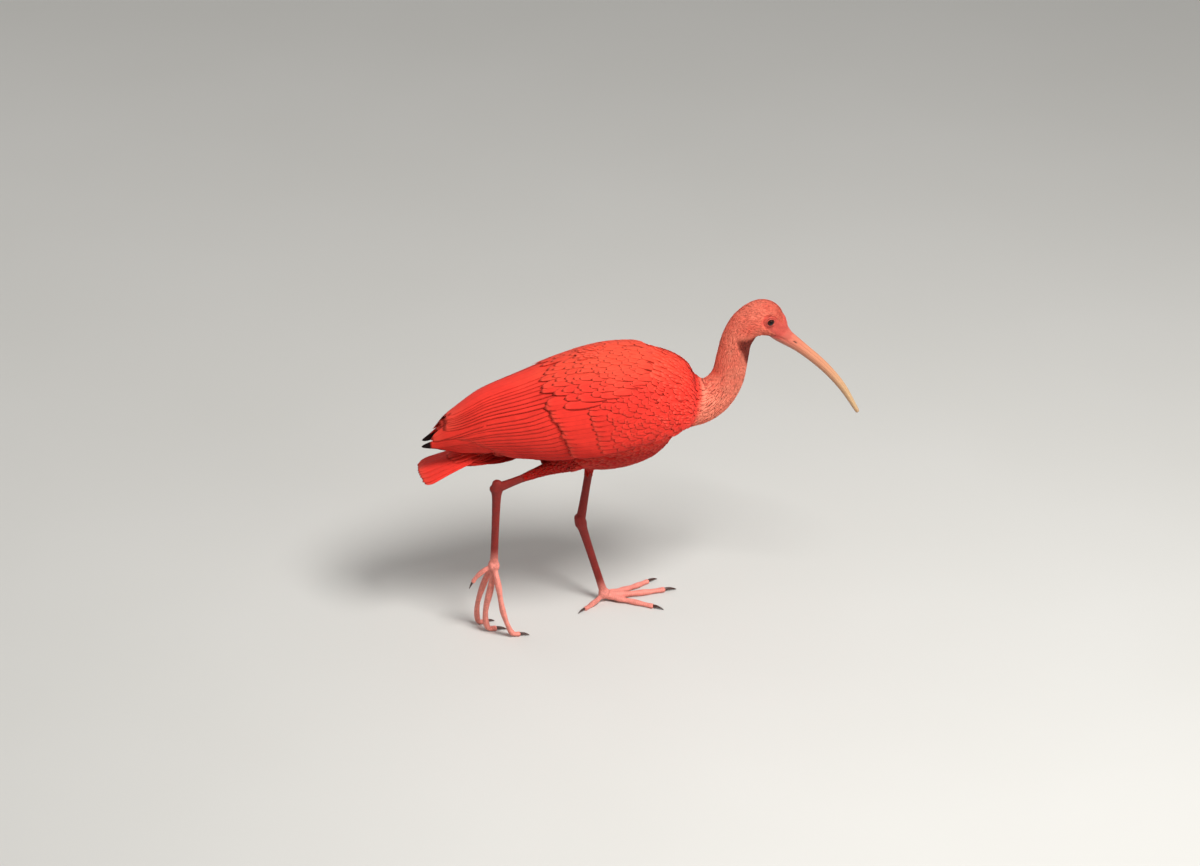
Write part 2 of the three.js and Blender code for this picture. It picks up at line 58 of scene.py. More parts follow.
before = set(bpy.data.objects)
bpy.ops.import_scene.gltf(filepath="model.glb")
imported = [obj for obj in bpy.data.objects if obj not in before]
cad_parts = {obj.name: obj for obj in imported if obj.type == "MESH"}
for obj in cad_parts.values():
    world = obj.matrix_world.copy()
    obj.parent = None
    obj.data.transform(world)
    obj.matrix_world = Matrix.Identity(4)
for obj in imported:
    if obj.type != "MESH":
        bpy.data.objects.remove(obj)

import math

import bmesh
import bpy
import numpy as np
from mathutils import Matrix, Vector
from mathutils.bvhtree import BVHTree

CAD_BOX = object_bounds()
MM = 0.001
EYE = np.array([168.0, 12.2, 325.0])
EYE_TURN = 12  # degrees that each eye looks to the front
LOWEST = 0.05  # how far soles and claws stay above the floor


def eye_middle():
    """Half way between the two eyes, in metres."""
    boxes = [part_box("eye_left"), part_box("eye_right")]
    return np.array(sum(((low + high) / 2 for low, high in boxes), Vector())) / 2


SHIFT = eye_middle() - EYE * (MM, 0, MM)
SHIFT[2] = 0.0


# ---------------------------------------------------------------- sizes and colours


def linear(red, green, blue):
    """A colour given as it looks on a screen, 0 to 255, as the shaders take it."""
    return tuple((v / 255) ** 2.2 for v in (red, green, blue))


def length_of(name, description, default):
    return bpy.props.FloatProperty(name=name, description=description, default=default, min=0.0,
                                   unit="LENGTH", precision=4)


def colour_of(name, description, default):
    return bpy.props.FloatVectorProperty(name=name, description=description, size=3, min=0.0,
                                         max=1.0, default=linear(*default), subtype="COLOR")


class IbisSizes(bpy.types.PropertyGroup):
    """The lengths that a user would change."""

    crown_feather: length_of("Crown feather", "Length of a feather on the crown", 0.0058)
    neck_feather: length_of("Neck feather", "Length of a feather half way up the neck", 0.0085)
    breast_feather: length_of("Breast feather", "Length of a feather on the breast", 0.0165)
    flank_feather: length_of("Flank feather", "Length of a feather on the flank", 0.021)
    mantle_feather: length_of("Mantle feather", "Length of a feather on the mantle", 0.022)
    thigh_feather: length_of("Thigh feather", "Length of a feather on the thigh", 0.012)
    barb_pitch: length_of("Barb pitch", "Distance between the barbs drawn on a vane", 0.0006)
    eye_radius: length_of("Eye radius", "Radius of the eyeball", 0.0054)
    scute: length_of("Scute", "Length of a scale on the toes", 0.0021)


class IbisColours(bpy.types.PropertyGroup):
    """The colours that a user would change."""

    scarlet: colour_of("Scarlet", "Wings, back and tail", (240, 59, 48))
    # painted shade: a deep red for the breast, belly, thighs and lower wings, standing in for the
    # shade under the body
    breast: colour_of("Breast", "Breast, belly and thighs", (172, 17, 10))
    neck: colour_of("Neck", "Head and neck", (255, 140, 114))
    under: colour_of("Under the coat", "Skin and down between the feathers", (196, 36, 26))
    tips: colour_of("Wing tips", "Ends of the outer flight feathers", (28, 16, 16))
    bare_face: colour_of("Bare face", "Unfeathered skin before and round the eye", (230, 92, 76))
    bill_base: colour_of("Bill base", "Horn at the root of the bill", (212, 104, 86))
    bill_middle: colour_of("Bill middle", "Horn half way down the bill", (208, 138, 104))
    bill_tip: colour_of("Bill tip", "Horn at the end of the bill", (206, 168, 124))
    # painted light on the legs' own pinkish red: the legs' colour is darker, as painted shade, and
    # the toes' colour paler, as painted sunlight
    legs: colour_of("Legs", "Skin of the shanks and tarsi", (140, 35, 27))
    toes: colour_of("Toes", "Skin of the feet and toes", (248, 148, 132))
    claws: colour_of("Claws", "Horn of the claws", (58, 34, 30))
    iris: colour_of("Iris", "Dark ring of the eye", (46, 20, 12))


def in_mm(name):
    return float(getattr(bpy.context.scene.ibis_sizes, name)) / MM


# Shades that the finishes mix in, as the shaders take them. Some are painted light: a sunlit top,
# the shadow under the chin, and the shade in creases, between scales, in nostrils and under the
# bill
SHADES = {
    "bleached": (1.0, 0.17, 0.075), "throat": (0.13, 0.007, 0.005), "shaft": (0.52, 0.04, 0.025),
    "feather_end": (1.0, 0.30, 0.20), "vane_end": (1.0, 0.24, 0.14), "quill": (0.34, 0.014, 0.010),
    "flush": (0.54, 0.055, 0.042), "crease": (0.26, 0.020, 0.018),
    "bill_end": (0.30, 0.16, 0.10), "bill_streak": (0.36, 0.12, 0.08),
    "bill_under": (0.26, 0.105, 0.060), "nostril": (0.035, 0.012, 0.010),
    "scale_edge": (0.20, 0.020, 0.018), "claw_streak": (0.13, 0.06, 0.045),
    "iris_fibre": (0.055, 0.014, 0.008), "iris_rim": (0.008, 0.004, 0.004),
    "pupil": (0.0015, 0.0015, 0.0015), "lid_crease": (0.14, 0.012, 0.012),
}


def paint(name):
    shade = SHADES.get(name) or getattr(bpy.context.scene.ibis_colours, name)
    return (*shade, 1.0)


# ---------------------------------------------------------------- smooth lines and rounded forms


def smooth(table, where):
    """Values at places 0 to 1 of a smooth line through the rows of a table."""
    table = np.asarray(table, float)
    last = len(table) - 1
    place = np.clip(np.asarray(where, float) * last, 0, last - 1e-9)
    i = place.astype(int)
    f = (place - i)[..., None]
    a, b = table[np.maximum(i - 1, 0)], table[i]
    c, d = table[np.minimum(i + 1, last)], table[np.minimum(i + 2, last)]
    return 0.5 * (2 * b + (c - a) * f + (2 * a - 5 * b + 4 * c - d) * f**2
                  + (3 * b - a - 3 * c + d) * f**3)


def unit(vectors):
    vectors = np.asarray(vectors, float)
    return vectors / np.maximum(np.linalg.norm(vectors, axis=-1, keepdims=True), 1e-9)


def eased(value, low, high):
    """0 below low, 1 above high, and smooth between."""
    f = np.clip((np.asarray(value, float) - low) / (high - low), 0, 1)
    return f * f * (3 - 2 * f)


class Form:
    """A rounded form along a line. A station is x, y, z, half width, reach up and reach down.
    A row of its table adds to these six the ways along the line, across it and up from it."""

    def __init__(self, stations, domes=(4, 4), side=(0, 1, 0), square=1.0, samples=320):
        rows = smooth(stations, np.linspace(0, 1, samples))
        along = unit(np.gradient(rows[:, :3], axis=0))
        lean = np.sin(np.radians(np.linspace(90, 8, 14)))
        first = self.dome(rows[0], along[0], -domes[0] * lean, lean)
        last = self.dome(rows[-1], along[-1], domes[1] * lean[::-1], lean[::-1])
        rows = np.vstack([first, rows, last])
        along = np.pad(along, ((len(lean), len(lean)), (0, 0)), "edge")
        side = np.broadcast_to(np.asarray(side, float), along.shape)
        across = unit(side - along * (side * along).sum(-1, keepdims=True))
        steps = np.linalg.norm(np.diff(rows[:, :3], axis=0), axis=1)
        self.marks = np.concatenate([[0], np.cumsum(np.maximum(steps, 1e-6))])
        self.length = self.marks[-1]
        self.square = square
        self.table = np.hstack([rows, along, across, np.cross(along, across)])

    @staticmethod
    def dome(row, along, shifts, lean):
        shrink = np.sqrt(np.maximum(1 - lean**2, 0))
        return np.hstack([row[:3] + along * shifts[:, None], row[3:] * shrink[:, None]])

    def row(self, length):
        length = np.asarray(length, float)
        columns = [np.interp(length, self.marks, c) for c in self.table.T]
        return np.stack(columns, -1)

    def at(self, length, turn):
        """Points on the form, at lengths along it and angles from its top towards its side."""
        row = self.row(length)
        c, s = np.cos(turn), np.sin(turn)
        if self.square != 1:
            c, s = np.sign(c) * abs(c) ** self.square, np.sign(s) * abs(s) ** self.square
        wide = row[..., 3] * s
        high = np.where(c > 0, row[..., 4], row[..., 5]) * c
        return row[..., :3] + row[..., 9:12] * wide[..., None] + row[..., 12:15] * high[..., None]

    def crowding(self, length, turn):
        """How close together places lie on the inside of a bend, 1 where the line is straight."""
        gaps = self.at(length + 1.0, turn) - self.at(length - 1.0, turn)
        return np.linalg.norm(gaps, axis=-1) / 2

    def nearest(self, points):
        """The length along the line nearest to each point."""
        line = self.table[:, :3]
        gaps = ((points[:, None, :] - line[None]) ** 2).sum(-1)
        return self.marks[gaps.argmin(1)]

    def mark(self, x, z):
        """The length along the line nearest to one place in the bird's middle plane."""
        return self.nearest(np.array([[x, 0.0, z]]))[0]


class Pelt(Form):
    """A form whose skin stretches across the inside of the throat's bend and doesn't fold there."""

    LINES, ROUND = 700, 120  # the skin's grid of places
    TIGHT = 0.45  # how crowded the places are where the skin is let loose
    THROAT = 130  # where the throat starts, x
    SNOUT = 20  # how much of the form's end is left as it is

    def __init__(self, *args, **settings):
        super().__init__(*args, **settings)
        places = np.linspace(0, self.length, self.LINES + 1)
        turns = np.linspace(0, 2 * np.pi, self.ROUND + 1)[:-1]
        skin = super().at(places[:, None], turns[None])
        run = np.gradient(skin, places, axis=0)
        spread = (run * self.row(places)[:, None, 6:9]).sum(-1)
        loose = ((spread < self.TIGHT) & (skin[..., 0] > self.THROAT)
                 & (places[:, None] < self.length - self.SNOUT))
        for rounds, mask in ((1500, loose), (12, self.wider(loose, 5)), (6, self.wider(loose, 9))):
            rows = np.flatnonzero(mask.any(1))
            part = slice(rows[0] - 1, rows[-1] + 2)
            inner = mask[part][1:-1, :, None]
            for _ in range(rounds):
                here = skin[part]
                middle = here[1:-1]
                around = (here[2:] + here[:-2] + np.roll(middle, 1, 1) + np.roll(middle, -1, 1)) / 4
                here[1:-1] = np.where(inner, around, middle)
        self.skin = np.concatenate([skin, skin[:, :1]], 1)

    @staticmethod
    def wider(mask, cells):
        for _ in range(cells):
            mask = (mask | np.roll(mask, 1, 0) | np.roll(mask, -1, 0) | np.roll(mask, 1, 1)
                    | np.roll(mask, -1, 1))
        return mask

    def at(self, length, turn):
        length, turn = np.broadcast_arrays(np.asarray(length, float), np.asarray(turn, float))
        i = np.clip(length / self.length * self.LINES, 0, self.LINES - 0.001)
        j = (turn / (2 * np.pi) % 1) * self.ROUND
        i0, j0 = i.astype(int), np.minimum(j.astype(int), self.ROUND - 1)
        f, g = (i - i0)[..., None], (j - j0)[..., None]
        low = self.skin[i0, j0] * (1 - g) + self.skin[i0, j0 + 1] * g
        high = self.skin[i0 + 1, j0] * (1 - g) + self.skin[i0 + 1, j0 + 1] * g
        return low * (1 - f) + high * f


# Rump, breast, neck and head: x, z, half width, reach up, reach down, coat's depth
BODY = [
    (-106, 212, 24, 26, 22, 1.9), (-80, 222, 36, 42, 36, 2.0), (-42, 230, 47, 56, 53, 2.1),
    (0, 233, 51, 63, 64, 2.1), (38, 238, 49, 59, 61, 2.0), (66, 240, 41, 45, 46, 1.8),
    (86, 237, 30, 31, 32, 1.6), (103, 235.5, 22.5, 24, 25, 1.4), (117, 242, 18.5, 20, 20.5, 1.2),
    (128, 258, 16, 17, 18, 1.1), (133, 281, 15, 16, 17, 1.0), (137.5, 301, 14.6, 15.6, 16.2, 0.9),
    (148, 316.5, 15.2, 17.2, 16.8, 0.8), (163, 321.5, 16.6, 20.4, 20, 0.7),
    (174, 315, 12.8, 15.6, 14.8, 0.5), (182, 305.4, 8.6, 9.8, 9.7, 0.2),
    (191, 296.2, 5.75, 6.6, 6.6, 0),
]
BODY_DOMES = (12, 1.2)
THIGH_COAT = 2.6  # how deep the feathers lie on the thighs
TAIL_ROOT = [(-138, 0, 192.5, 10, 2.6, 2.8), (-126, 0, 197.5, 12, 5.2, 5.6),
             (-112, 0, 203, 13, 8, 9), (-98, 0, 207, 14, 10, 11)]

# The outside of the folded wings: x, middle's height, half width, half height
COAT = [
    (-180, 209, 9, 9), (-155, 217, 19.5, 23), (-120, 225, 33, 38), (-80, 229, 46, 48),
    (-40, 231, 55, 60), (0, 233.5, 58, 67.5), (38, 238, 55.5, 63), (64, 240, 48.5, 51),
    (84, 238, 39, 39), (100, 236, 30, 30),
]

LEGS = {
    "left": dict(knee=(4, 33, 210), ankle=(-17, 20, 94), hub=(7, 18, 8), thigh=15, feathered=0.52),
    "right": dict(knee=(6, -35, 212), ankle=(-108, -25, 166), hub=(-112, -25, 77), thigh=16,
                  feathered=0.72),
}
TOES = {
    "left": {
        "inner": [(21, 12, 4.2), (38, 4, 2.5), (53, -5, 2.1), (63.5, -11, 1)],
        "middle": [(23, 19.5, 4.3), (48, 22, 2.7), (70, 25, 2.3), (83, 27, 1)],
        "outer": [(21, 26, 4.2), (40, 35, 2.5), (56, 44, 2.1), (67, 50, 1)],
        "hind": [(-1, 11.5, 4.6), (-10, 5, 2.1), (-15, 1, 1.8), (-23, -5, 1)],
    },
    "right": {
        "inner": [(-118, -16, 60), (-127, -12, 28), (-127, -9.5, 5), (-120, -8, 2), (-110, -6, 1)],
        "middle": [(-115, -26, 55), (-121, -25, 24), (-119, -24, 5), (-111, -23.5, 2.2),
                   (-100, -24, 1)],
        "outer": [(-109, -35, 59), (-105, -38, 30), (-97, -38, 5.6), (-89, -38, 2), (-79, -39, 1)],
        "hind": [(-121, -25.5, 73), (-129, -25, 66), (-133, -24.5, 60), (-137, -24, 52)],
    },
}
TOE_RADIUS = {"inner": 3.5, "middle": 3.8, "outer": 3.5, "hind": 3.0}
BONES = {"inner": 3, "middle": 3, "outer": 4, "hind": 2}

BILL = [(173, 311.5, 6.6, 7.6), (180, 305, 7.2, 8.6), (203, 286, 5, 5.9), (227, 262.5, 4.1, 4.9),
        (246, 238, 3.4, 3.9), (262, 209, 2.1, 2.1)]
MOUTH = [(170, 309), (186, 299.2)]
SEAM = math.radians(97)  # where the bill's halves meet, down from its ridge
NOSTRIL = (196.0, 294.9)  # its middle, x and z
NOSTRIL_LEAN = math.radians(-39.5)
UNDER_WING = (-150, 52, 93)  # from x to x, down to this angle, no small feathers are laid


def body_form(kind=Form):
    """Rump, breast, neck and head as one rounded form, inside the coat by its depth."""
    stations = [(x, 0, z, w - c, u - c, d - c) for x, z, w, u, d, c in BODY]
    return kind(stations, BODY_DOMES, samples=640)


def thigh_form(side):
    """A thigh down to where its feathers end, inside them by the coat's depth."""
    leg = LEGS[side]
    knee, ankle = np.array(leg["knee"], float), np.array(leg["ankle"], float)
    r, feathered = leg["thigh"], leg["feathered"]
    stations = []
    for f, w, u, d in [(0.02, 0.8 * r, r, r),
                       (0.45 * feathered, 0.72 * r, 0.9 * r, 0.85 * r),
                       (0.8 * feathered, 0.46 * r, 0.55 * r, 0.55 * r),
                       (feathered, 5.2, 5.8, 5.8)]:
        thin = THIGH_COAT * (1 if f < feathered else 0.45)
        stations.append((*(knee + (ankle - knee) * f), w - thin, u - thin, d - thin))
    return Form(stations, (6, 2))


def coat_row(x):
    """Middle's height, half width and half height of the folded wings at x."""
    table = np.array(COAT, float)
    f = np.interp(x, table[:, 0], np.linspace(0, 1, len(table)))
    return smooth(table[:, 1:], f)


def on_coat(side, x, turn, lift):
    """Points on the outside of a folded wing, at an angle in radians down from the back's top."""
    row = coat_row(x)
    y = side * (row[..., 1] + lift) * np.sin(turn)
    z = row[..., 0] + (row[..., 2] + lift) * np.cos(turn)
    return np.stack(np.broadcast_arrays(x, y, z), -1)


# ---------------------------------------------------------------- mesh work


def coordinates(verts):
    return np.array([v.co[:] for v in verts])


def shape_grid(bm, around, along, where, weld=True):
    """A grid sent to where(across 0-1, along 0-1); a rolled one has its seam and ends welded."""
    verts = bmesh.ops.create_grid(bm, x_segments=around, y_segments=along, size=1.0)["verts"]
    flat = (coordinates(verts) + 1) / 2
    for vert, place in zip(verts, where(flat[:, 0], flat[:, 1])):
        vert.co = place
    if weld:
        bmesh.ops.remove_doubles(bm, verts=verts, dist=1e-4)


def roll_form(bm, form, around, along, spread=None):
    """A closed tube round a form; spread gives the lengths of its rings from places 0 to 1."""
    ways = spread or (lambda f: f * form.length)
    shut = 1e-6

    def where(u, v):
        points = form.at(ways(v), u * 2 * np.pi)
        ends = form.row(ways(np.round(v)))[:, :3]
        poles = ((v < shut) | (v > 1 - shut))[:, None]
        return np.where(poles, ends, points)

    shape_grid(bm, around, along, where)


def placed(name, data):
    """An object put into the scene."""
    thing = bpy.data.objects.new(name, data)
    bpy.context.scene.collection.objects.link(thing)
    return thing


def mesh_from(bm, name):
    mesh = bpy.data.meshes.new(name)
    bm.to_mesh(mesh)
    bm.free()
    return mesh


def smoothed(mesh):
    mesh.polygons.foreach_set("use_smooth", [True] * len(mesh.polygons))
    return mesh


def mesh_of(bm):
    """A shape's mesh, its faces outward and smooth."""
    bmesh.ops.recalc_face_normals(bm, faces=bm.faces)
    return smoothed(mesh_from(bm, "shape"))


def melted(bm, voxel, smoothing):
    """One skin round forms that run into each other."""
    bmesh.ops.recalc_face_normals(bm, faces=bm.faces)
    mesh = mesh_from(bm, "melting")
    body = placed("melting", mesh)
    remesh = body.modifiers.new("one skin", "REMESH")
    remesh.mode, remesh.voxel_size, remesh.adaptivity = "VOXEL", voxel, 0.0
    soften = body.modifiers.new("soften", "SMOOTH")
    soften.factor, soften.iterations = 0.5, smoothing
    depsgraph = bpy.context.evaluated_depsgraph_get()
    done = bpy.data.meshes.new_from_object(body.evaluated_get(depsgraph))
    bpy.data.objects.remove(body)
    bpy.data.meshes.remove(mesh)
    return done


def joined(first, others):
    """One closed mesh from several that run into each other, each keeping its own faces."""
    bodies = [placed("joining", mesh) for mesh in (first, *others)]
    for other in bodies[1:]:
        union = bodies[0].modifiers.new("union", "BOOLEAN")
        union.operation, union.solver, union.object = "UNION", "MANIFOLD", other
    depsgraph = bpy.context.evaluated_depsgraph_get()
    done = bpy.data.meshes.new_from_object(bodies[0].evaluated_get(depsgraph))
    for body in bodies:
        mesh = body.data
        bpy.data.objects.remove(body)
        bpy.data.meshes.remove(mesh)
    if not len(done.polygons):
        raise RuntimeError("the skin's forms did not join")
    return smoothed(done)


def mesh_points(mesh):
    flat = np.zeros(len(mesh.vertices) * 3, np.float64)
    mesh.vertices.foreach_get("co", flat)
    return flat.reshape(-1, 3)


def mesh_ways_out(mesh):
    flat = np.zeros(len(mesh.vertices) * 3, np.float32)
    mesh.vertex_normals.foreach_get("vector", flat)
    return flat.reshape(-1, 3).astype(float)


def move_points(mesh, points):
    mesh.vertices.foreach_set("co", np.ascontiguousarray(points, np.float32).ravel())
    mesh.update()


def note(mesh, name, values):
    """Keeps one number at each point of a mesh, for its finish to read."""
    mesh.attributes.new(name, "FLOAT", "POINT").data.foreach_set(
        "value", np.ascontiguousarray(values, np.float32).ravel())


def finished(name, mesh, finish, slot, *nodes):
    """A finished piece: in place in metres, riding on the bird, standing for its solids."""
    mesh.name = name
    move_points(mesh, mesh_points(mesh) * MM + SHIFT)
    mesh.materials.clear()
    mesh.materials.append(finish)
    piece = placed(name, mesh)
    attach(piece, "root")
    if nodes:
        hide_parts(*nodes)


# ---------------------------------------------------------------- feathers


class Cover:
    """A surface that feathers are laid on: it gives the nearest place and the way out from it."""

    def __init__(self, mesh):
        points, out = mesh_points(mesh), mesh_ways_out(mesh)
        faces = [tuple(face.vertices) for face in mesh.polygons]
        self.tree = BVHTree.FromPolygons([tuple(p) for p in points], faces)
        self.out = unit(np.array([out[list(face)].mean(0) for face in faces]))

    @classmethod
    def over(cls, bm, voxel, smoothing):
        """The cover that forms make when they run into each other."""
        mesh = melted(bm, voxel, smoothing)
        cover = cls(mesh)
        bpy.data.meshes.remove(mesh)
        return cover

    def settle(self, points):
        found = [self.tree.find_nearest(p) for p in points]
        places = np.array([hit[0] for hit in found])
        return places, self.out[[hit[2] for hit in found]]


class Leaf:
    """One feather's plain leaf: closed, its edge shared by the outer and the under side."""

    def __init__(self, rows, columns, ribs=None, steps=None):
        bm = bmesh.new()
        bmesh.ops.create_grid(bm, x_segments=columns, y_segments=rows, size=1.0)
        copy = bmesh.ops.duplicate(bm, geom=bm.verts[:] + bm.edges[:] + bm.faces[:])["geom"]
        under = [f for f in copy if isinstance(f, bmesh.types.BMFace)]
        bmesh.ops.reverse_faces(bm, faces=under)
        inner = [v for v in copy if isinstance(v, bmesh.types.BMVert)
                 and abs(v.co.x) < 0.999 and abs(v.co.y) < 0.999]
        bmesh.ops.translate(bm, verts=inner, vec=(0, 0, -1))
        bmesh.ops.remove_doubles(bm, verts=bm.verts, dist=1e-5)
        bm.verts.index_update()
        flat = coordinates(bm.verts)
        self.across, self.along = flat[:, 0], (flat[:, 1] + 1) / 2
        if ribs:
            self.across = np.interp(self.across, np.linspace(-1, 1, len(ribs)), ribs)
        if steps:
            self.along = np.interp(self.along, np.linspace(0, 1, len(steps)), steps)
        self.under = -flat[:, 2]
        self.faces = np.array([[v.index for v in f.verts] for f in bm.faces])
        middles = np.array([np.mean([v.co.z for v in f.verts]) for f in bm.faces])
        self.beneath = middles < -1e-6
        bm.free()


PLUME = Leaf(4, 2, steps=[0, 0.35, 0.66, 0.88, 1])
CONTOUR = Leaf(7, 4, ribs=[-1, -0.55, 0, 0.55, 1],
               steps=[0, 0.22, 0.42, 0.6, 0.76, 0.89, 0.97, 1])
COVERT = Leaf(14, 6, ribs=[-1, -0.66, -0.3, 0, 0.3, 0.66, 1])
QUILL = Leaf(34, 10, ribs=[-1, -0.8, -0.55, -0.28, -0.07, 0, 0.07, 0.28, 0.55, 0.8, 1])
STEM = 0.3  # how wide a feather starts at its root, as a share of its full width
SINK = 0.35  # how deep the root of a small feather lies
CROWN = 0.035  # how far a small feather is arched across, as a share of its width
THICK = 0.10  # how thick the large feathers of the wing are
SHAFT = 0.05  # how far the raised shaft reaches to each side, as a share of half the width


def outline(along, tip, point):
    """How wide a feather is along its length, 0 to 1: a narrow root, then full, then its tip."""
    body = STEM + (1 - STEM) * np.clip(along / 0.3, 0, 1) ** 0.8
    end = np.clip((along - (1 - tip)) / tip, 0, 1)
    return body * np.maximum(1 - end**point, 0) ** (1 / 1.7) * 0.985 + 0.015


def on_map(across, up):
    """Places on a coat's map, a little inside its edges, from shares 0 to 1."""
    return 0.02 + 0.96 * np.stack([across, up], -1)


def round_map(lengths, form, turns):
    return on_map(lengths / form.length, (turns / (2 * np.pi)) % 1)


class Plumage:
    """Feathers that become one mesh, each with its own tone and its own patch of the coat's map."""

    def __init__(self):
        self.points, self.faces, self.notes, self.maps, self.flat = [], [], [], [], []
        self.count = 0

    def add(self, leaf, points, along_mm, across_mm, tone, ink, root_map):
        """points is feathers x leaf points x 3; root_map is each root's place on the map."""
        n, k = points.shape[:2]
        starts = self.count + np.arange(n)[:, None, None] * k
        self.faces.append((starts + leaf.faces[None]).reshape(-1, 4))
        self.points.append(points.reshape(-1, 3))
        self.flat.append(np.tile(leaf.beneath, n))
        tones = np.repeat(np.asarray(tone, float)[:, None], k, 1)
        reach = np.tile(leaf.along, (n, 1))
        inks = np.broadcast_to(ink, (n, k))
        self.notes.append(np.stack([a.ravel() for a in (tones, along_mm, across_mm, reach, inks)]))
        patch = np.stack([leaf.across * 0.0014, (leaf.along - 0.5) * 0.0028], -1)
        self.maps.append((root_map[:, None, :] + patch[None]).reshape(-1, 2))
        self.count += n * k

    def mesh(self):
        points, faces = np.vstack(self.points), np.vstack(self.faces)
        mesh = bpy.data.meshes.new("plumage")
        mesh.vertices.add(len(points))
        mesh.vertices.foreach_set("co", points.astype(np.float32).ravel())
        mesh.loops.add(faces.size)
        mesh.loops.foreach_set("vertex_index", faces.astype(np.int32).ravel())
        mesh.polygons.add(len(faces))
        mesh.polygons.foreach_set("loop_start", np.arange(0, faces.size, 4, dtype=np.int32))
        mesh.polygons.foreach_set("use_smooth", ~np.concatenate(self.flat))
        mesh.update(calc_edges=True)
        for name, values in zip(("tone", "along_mm", "across_mm", "reach", "ink"),
                                np.hstack(self.notes)):
            note(mesh, name, values)
        layer = mesh.uv_layers.new(name="OFBake")
        maps = np.vstack(self.maps)[faces.ravel()]
        layer.uv.foreach_set("vector", maps.astype(np.float32).ravel())
        return mesh


def lay_feathers(plumage, leaf, cover, roots, ways, lengths, widths, lifts, root_map, draw,
                 tip, point, ragged, thick=0.07, stray=0.42):
    """Feathers laid on a cover: each runs its way from its root, bends with it and lifts off.
    Those that stray too far from it, as a share of their length, are left out."""
    n = len(roots)
    places, out = cover.settle(roots)
    side = unit(np.cross(out, ways))
    ways = np.cross(side, out)
    yaw = draw.normal(0, 0.09, n)[:, None]
    ways, side = ways * np.cos(yaw) + side * np.sin(yaw), side * np.cos(yaw) - ways * np.sin(yaw)
    lengths = lengths * draw.uniform(0.88, 1.12, n)
    widths = widths * draw.uniform(0.9, 1.1, n)
    v, u = leaf.along[None], leaf.across[None]
    half = outline(v, tip, point) * widths[:, None] / 2
    fray = 1 + ragged * draw.normal(0, 1, (n, leaf.along.size)) * (v > 0.4)
    along = lengths[:, None] * v * np.where(v > 0.4, fray, 1)
    curl = draw.normal(0, 0.05, n)[:, None]
    across = half * u + curl * widths[:, None] * v * v
    spots = places[:, None] + ways[:, None] * along[..., None] + side[:, None] * across[..., None]
    settled, rise = cover.settle(spots.reshape(-1, 3))
    settled, rise = settled.reshape(spots.shape), rise.reshape(spots.shape)
    lift = -SINK + (lifts * draw.uniform(0.9, 1.1, n) + SINK)[:, None] * v**0.7
    crown = (1 - u * u) * widths[:, None] * CROWN - leaf.under[None] * thick
    tilt = u * draw.normal(0.045, 0.015, n)[:, None] * widths[:, None] * v
    points = settled + rise * (lift + crown + tilt)[..., None]
    fits = np.linalg.norm(settled - spots, axis=2).max(1) < stray * lengths
    plumage.add(leaf, points[fits], along[fits], across[fits], draw.uniform(0, 1, n)[fits], 0.0,
                root_map[fits])


def lay_on_wing(plumage, leaf, side, roots, tips, widths, sunk, proud, draw, lean, tip, point,
                rise=0.0, climb=18.0, ink=0.0, shaft=0.14, sweep=0.0, stack=0.0, arch=0.03):
    """Wing feathers in a tier. Roots and tips are x and degrees; the lower edge of each is raised,
    so that it covers the upper edge of the next one down."""
    n = len(roots)
    v, u = leaf.along[None], leaf.across[None]
    bend = sweep * np.sin(np.pi * v)
    x = roots[:, :1] + (tips[:, :1] - roots[:, :1]) * v
    turn = np.radians(roots[:, 1:] + (tips[:, 1:] - roots[:, 1:]) * v + bend)
    row = coat_row(x)
    radius = np.hypot(row[..., 1] * np.cos(turn), row[..., 2] * np.sin(turn))
    run = np.stack([tips[:, 0] - roots[:, 0],
                    np.radians(tips[:, 1] - roots[:, 1]) * radius.mean(1)], -1)
    length = np.linalg.norm(run, axis=1)
    ax, at = (run / length[:, None]).T
    half = outline(v, tip, point) * widths[:, None] / 2
    phase = draw.uniform(0, 6.28, (2, n, 1))
    notch = 1 + (0.02 * np.sin(7 * v + phase[0]) + 0.012 * np.sin(19 * v + phase[1])) * (v > 0.2)
    across = half * u * notch
    x = x + at[:, None] * across
    turn = turn - ax[:, None] * across / radius
    along = length[:, None] * v
    base = sunk + (proud - sunk) * eased(along, 0, climb) + rise * (v - 0.5)
    lower = -np.sign(ax)[:, None] * across
    ridge = shaft * (abs(u) < SHAFT) * np.sqrt(np.clip(1.02 - v, 0, 1))
    lift = base + lean * lower + ridge + (1 - u * u) * half * arch - leaf.under[None] * THICK
    lift = lift + stack * np.arange(n)[:, None]
    points = on_coat(side, x, turn, lift)
    rear, front = COAT[0][0], COAT[-1][0]
    root_map = on_map((roots[:, 0] - rear) / (front - rear), roots[:, 1] / 180)
    plumage.add(leaf, points, along, lower, draw.uniform(0, 1, n), ink, root_map)


# ---------------------------------------------------------------- finishes


class Value:
    """A shader's socket, wrapped so that sums on it are written as plain expressions."""

    def __init__(self, tree, socket):
        self.tree, self.socket = tree, socket

    def feed(self, entry):
        self.tree.links.new(self.socket, entry)

    def maths(self, operation, *values):
        """A sum's node, of the values given or else of this one."""
        node = self.tree.nodes.new("ShaderNodeMath")
        node.operation = operation
        for entry, value in zip(node.inputs, values or (self,)):
            if isinstance(value, Value):
                value.feed(entry)
            else:
                entry.default_value = value
        return Value(self.tree, node.outputs[0])

    def __add__(self, other):
        return self.maths("ADD", self, other)

    def __sub__(self, other):
        return self.maths("SUBTRACT", self, other)

    def __rsub__(self, other):
        return self.maths("SUBTRACT", other, self)

    def __mul__(self, other):
        return self.maths("MULTIPLY", self, other)

    def __truediv__(self, other):
        return self.maths("DIVIDE", self, other)

    def __abs__(self):
        return self.maths("ABSOLUTE")

    __radd__, __rmul__ = __add__, __mul__


